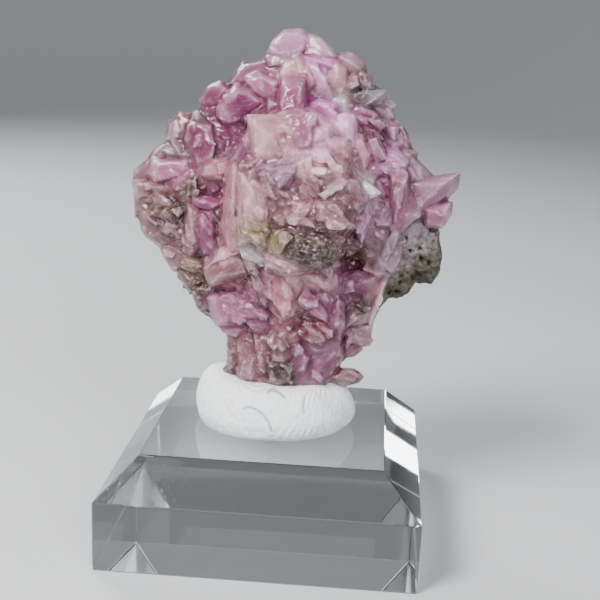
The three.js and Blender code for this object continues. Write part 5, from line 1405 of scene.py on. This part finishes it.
def floor_shape():
    """A round floor in rings, the outer ones on a quarter-turn upwards."""
    steps = [(share * FLOOR_FLAT, 0.0) for share in (0.25, 0.5, 0.75, 1)]
    steps += [(FLOOR_FLAT + FLOOR_RISE * math.sin(a), FLOOR_RISE * (1 - math.cos(a)))
              for a in np.linspace(0, math.pi / 2, 13)[1:]]
    points, faces = [(0.0, 0.0, -FLOOR_DROP)], []
    for radius, z in steps:
        for k in range(FLOOR_SECTORS):
            angle = k * 2 * math.pi / FLOOR_SECTORS
            points.append((radius * math.cos(angle), radius * math.sin(angle), z - FLOOR_DROP))
    for k in range(FLOOR_SECTORS):
        following = (k + 1) % FLOOR_SECTORS
        faces.append([0, 1 + k, 1 + following])
        for inner in range(1, len(points) - FLOOR_SECTORS, FLOOR_SECTORS):
            outer = inner + FLOOR_SECTORS
            faces.append([inner + k, outer + k, outer + following, inner + following])
    return points, faces


def floor_finish():
    finish = Finish("pale_floor")
    matt = finish.add("ShaderNodeBsdfPrincipled", {}, {
        "Base Color": tone("#C9CBCE"), "Roughness": 0.85, "Specular IOR Level": 0.2})
    return finish.close(matt)


floor = set_piece("floor", *floor_shape(), floor_finish())
floor.data.shade_smooth()


def soft_light(name, position, size, power, colour):
    """A square area light, given in millimetres, that faces the specimen."""
    light = bpy.data.lights.new(name, "AREA")
    light.size = size * MM
    light.energy = power
    light.color = colour
    lamp = bpy.data.objects.new(name, light)
    bpy.context.scene.collection.objects.link(lamp)
    lamp.location = Vector(position) * MM
    towards = Vector((0, 0, LIT_HEIGHT * MM)) - lamp.location
    lamp.rotation_euler = towards.to_track_quat("-Z", "Y").to_euler()


soft_light("key", (-190, -230, 300), 150, 2.9, (1.0, 0.99, 0.975))
soft_light("fill", (150, -310, 200), 220, 1.3, (0.97, 0.98, 1.0))
soft_light("back", (-220, 230, 260), 160, 1.2, (1.0, 1.0, 1.0))
world = bpy.data.worlds.new("studio")
world.use_nodes = True
surroundings = world.node_tree.nodes["Background"].inputs
surroundings["Color"].default_value = (0.82, 0.86, 0.9, 1)
surroundings["Strength"].default_value = 0.2
bpy.context.scene.world = world

CAMERA_AT = (11.96, -133.95, 64.67)
CAMERA_TURN = (-3.89, 14.81, 2.3)  # degrees to the right, downwards, and rolled
CAMERA_VIEW = 30.44  # degrees across

camera_data = bpy.data.cameras.new("camera")
camera_data.sensor_fit = "HORIZONTAL"
camera_data.angle = math.radians(CAMERA_VIEW)
camera_data.clip_start = 0.005
camera = bpy.data.objects.new("camera", camera_data)
bpy.context.scene.collection.objects.link(camera)
azimuth, downwards, roll = (math.radians(v) for v in CAMERA_TURN)
forward = Vector((math.sin(azimuth) * math.cos(downwards), math.cos(azimuth) * math.cos(downwards),
                  -math.sin(downwards)))
level = forward.cross(Vector((0, 0, 1))).normalized()
upright = level.cross(forward)
right = level * math.cos(roll) + upright * math.sin(roll)
up = upright * math.cos(roll) - level * math.sin(roll)
turn = Matrix((right, up, -forward)).transposed()
camera.matrix_world = Matrix.Translation(Vector(CAMERA_AT) * MM) @ turn.to_4x4()
bpy.context.scene.camera = camera
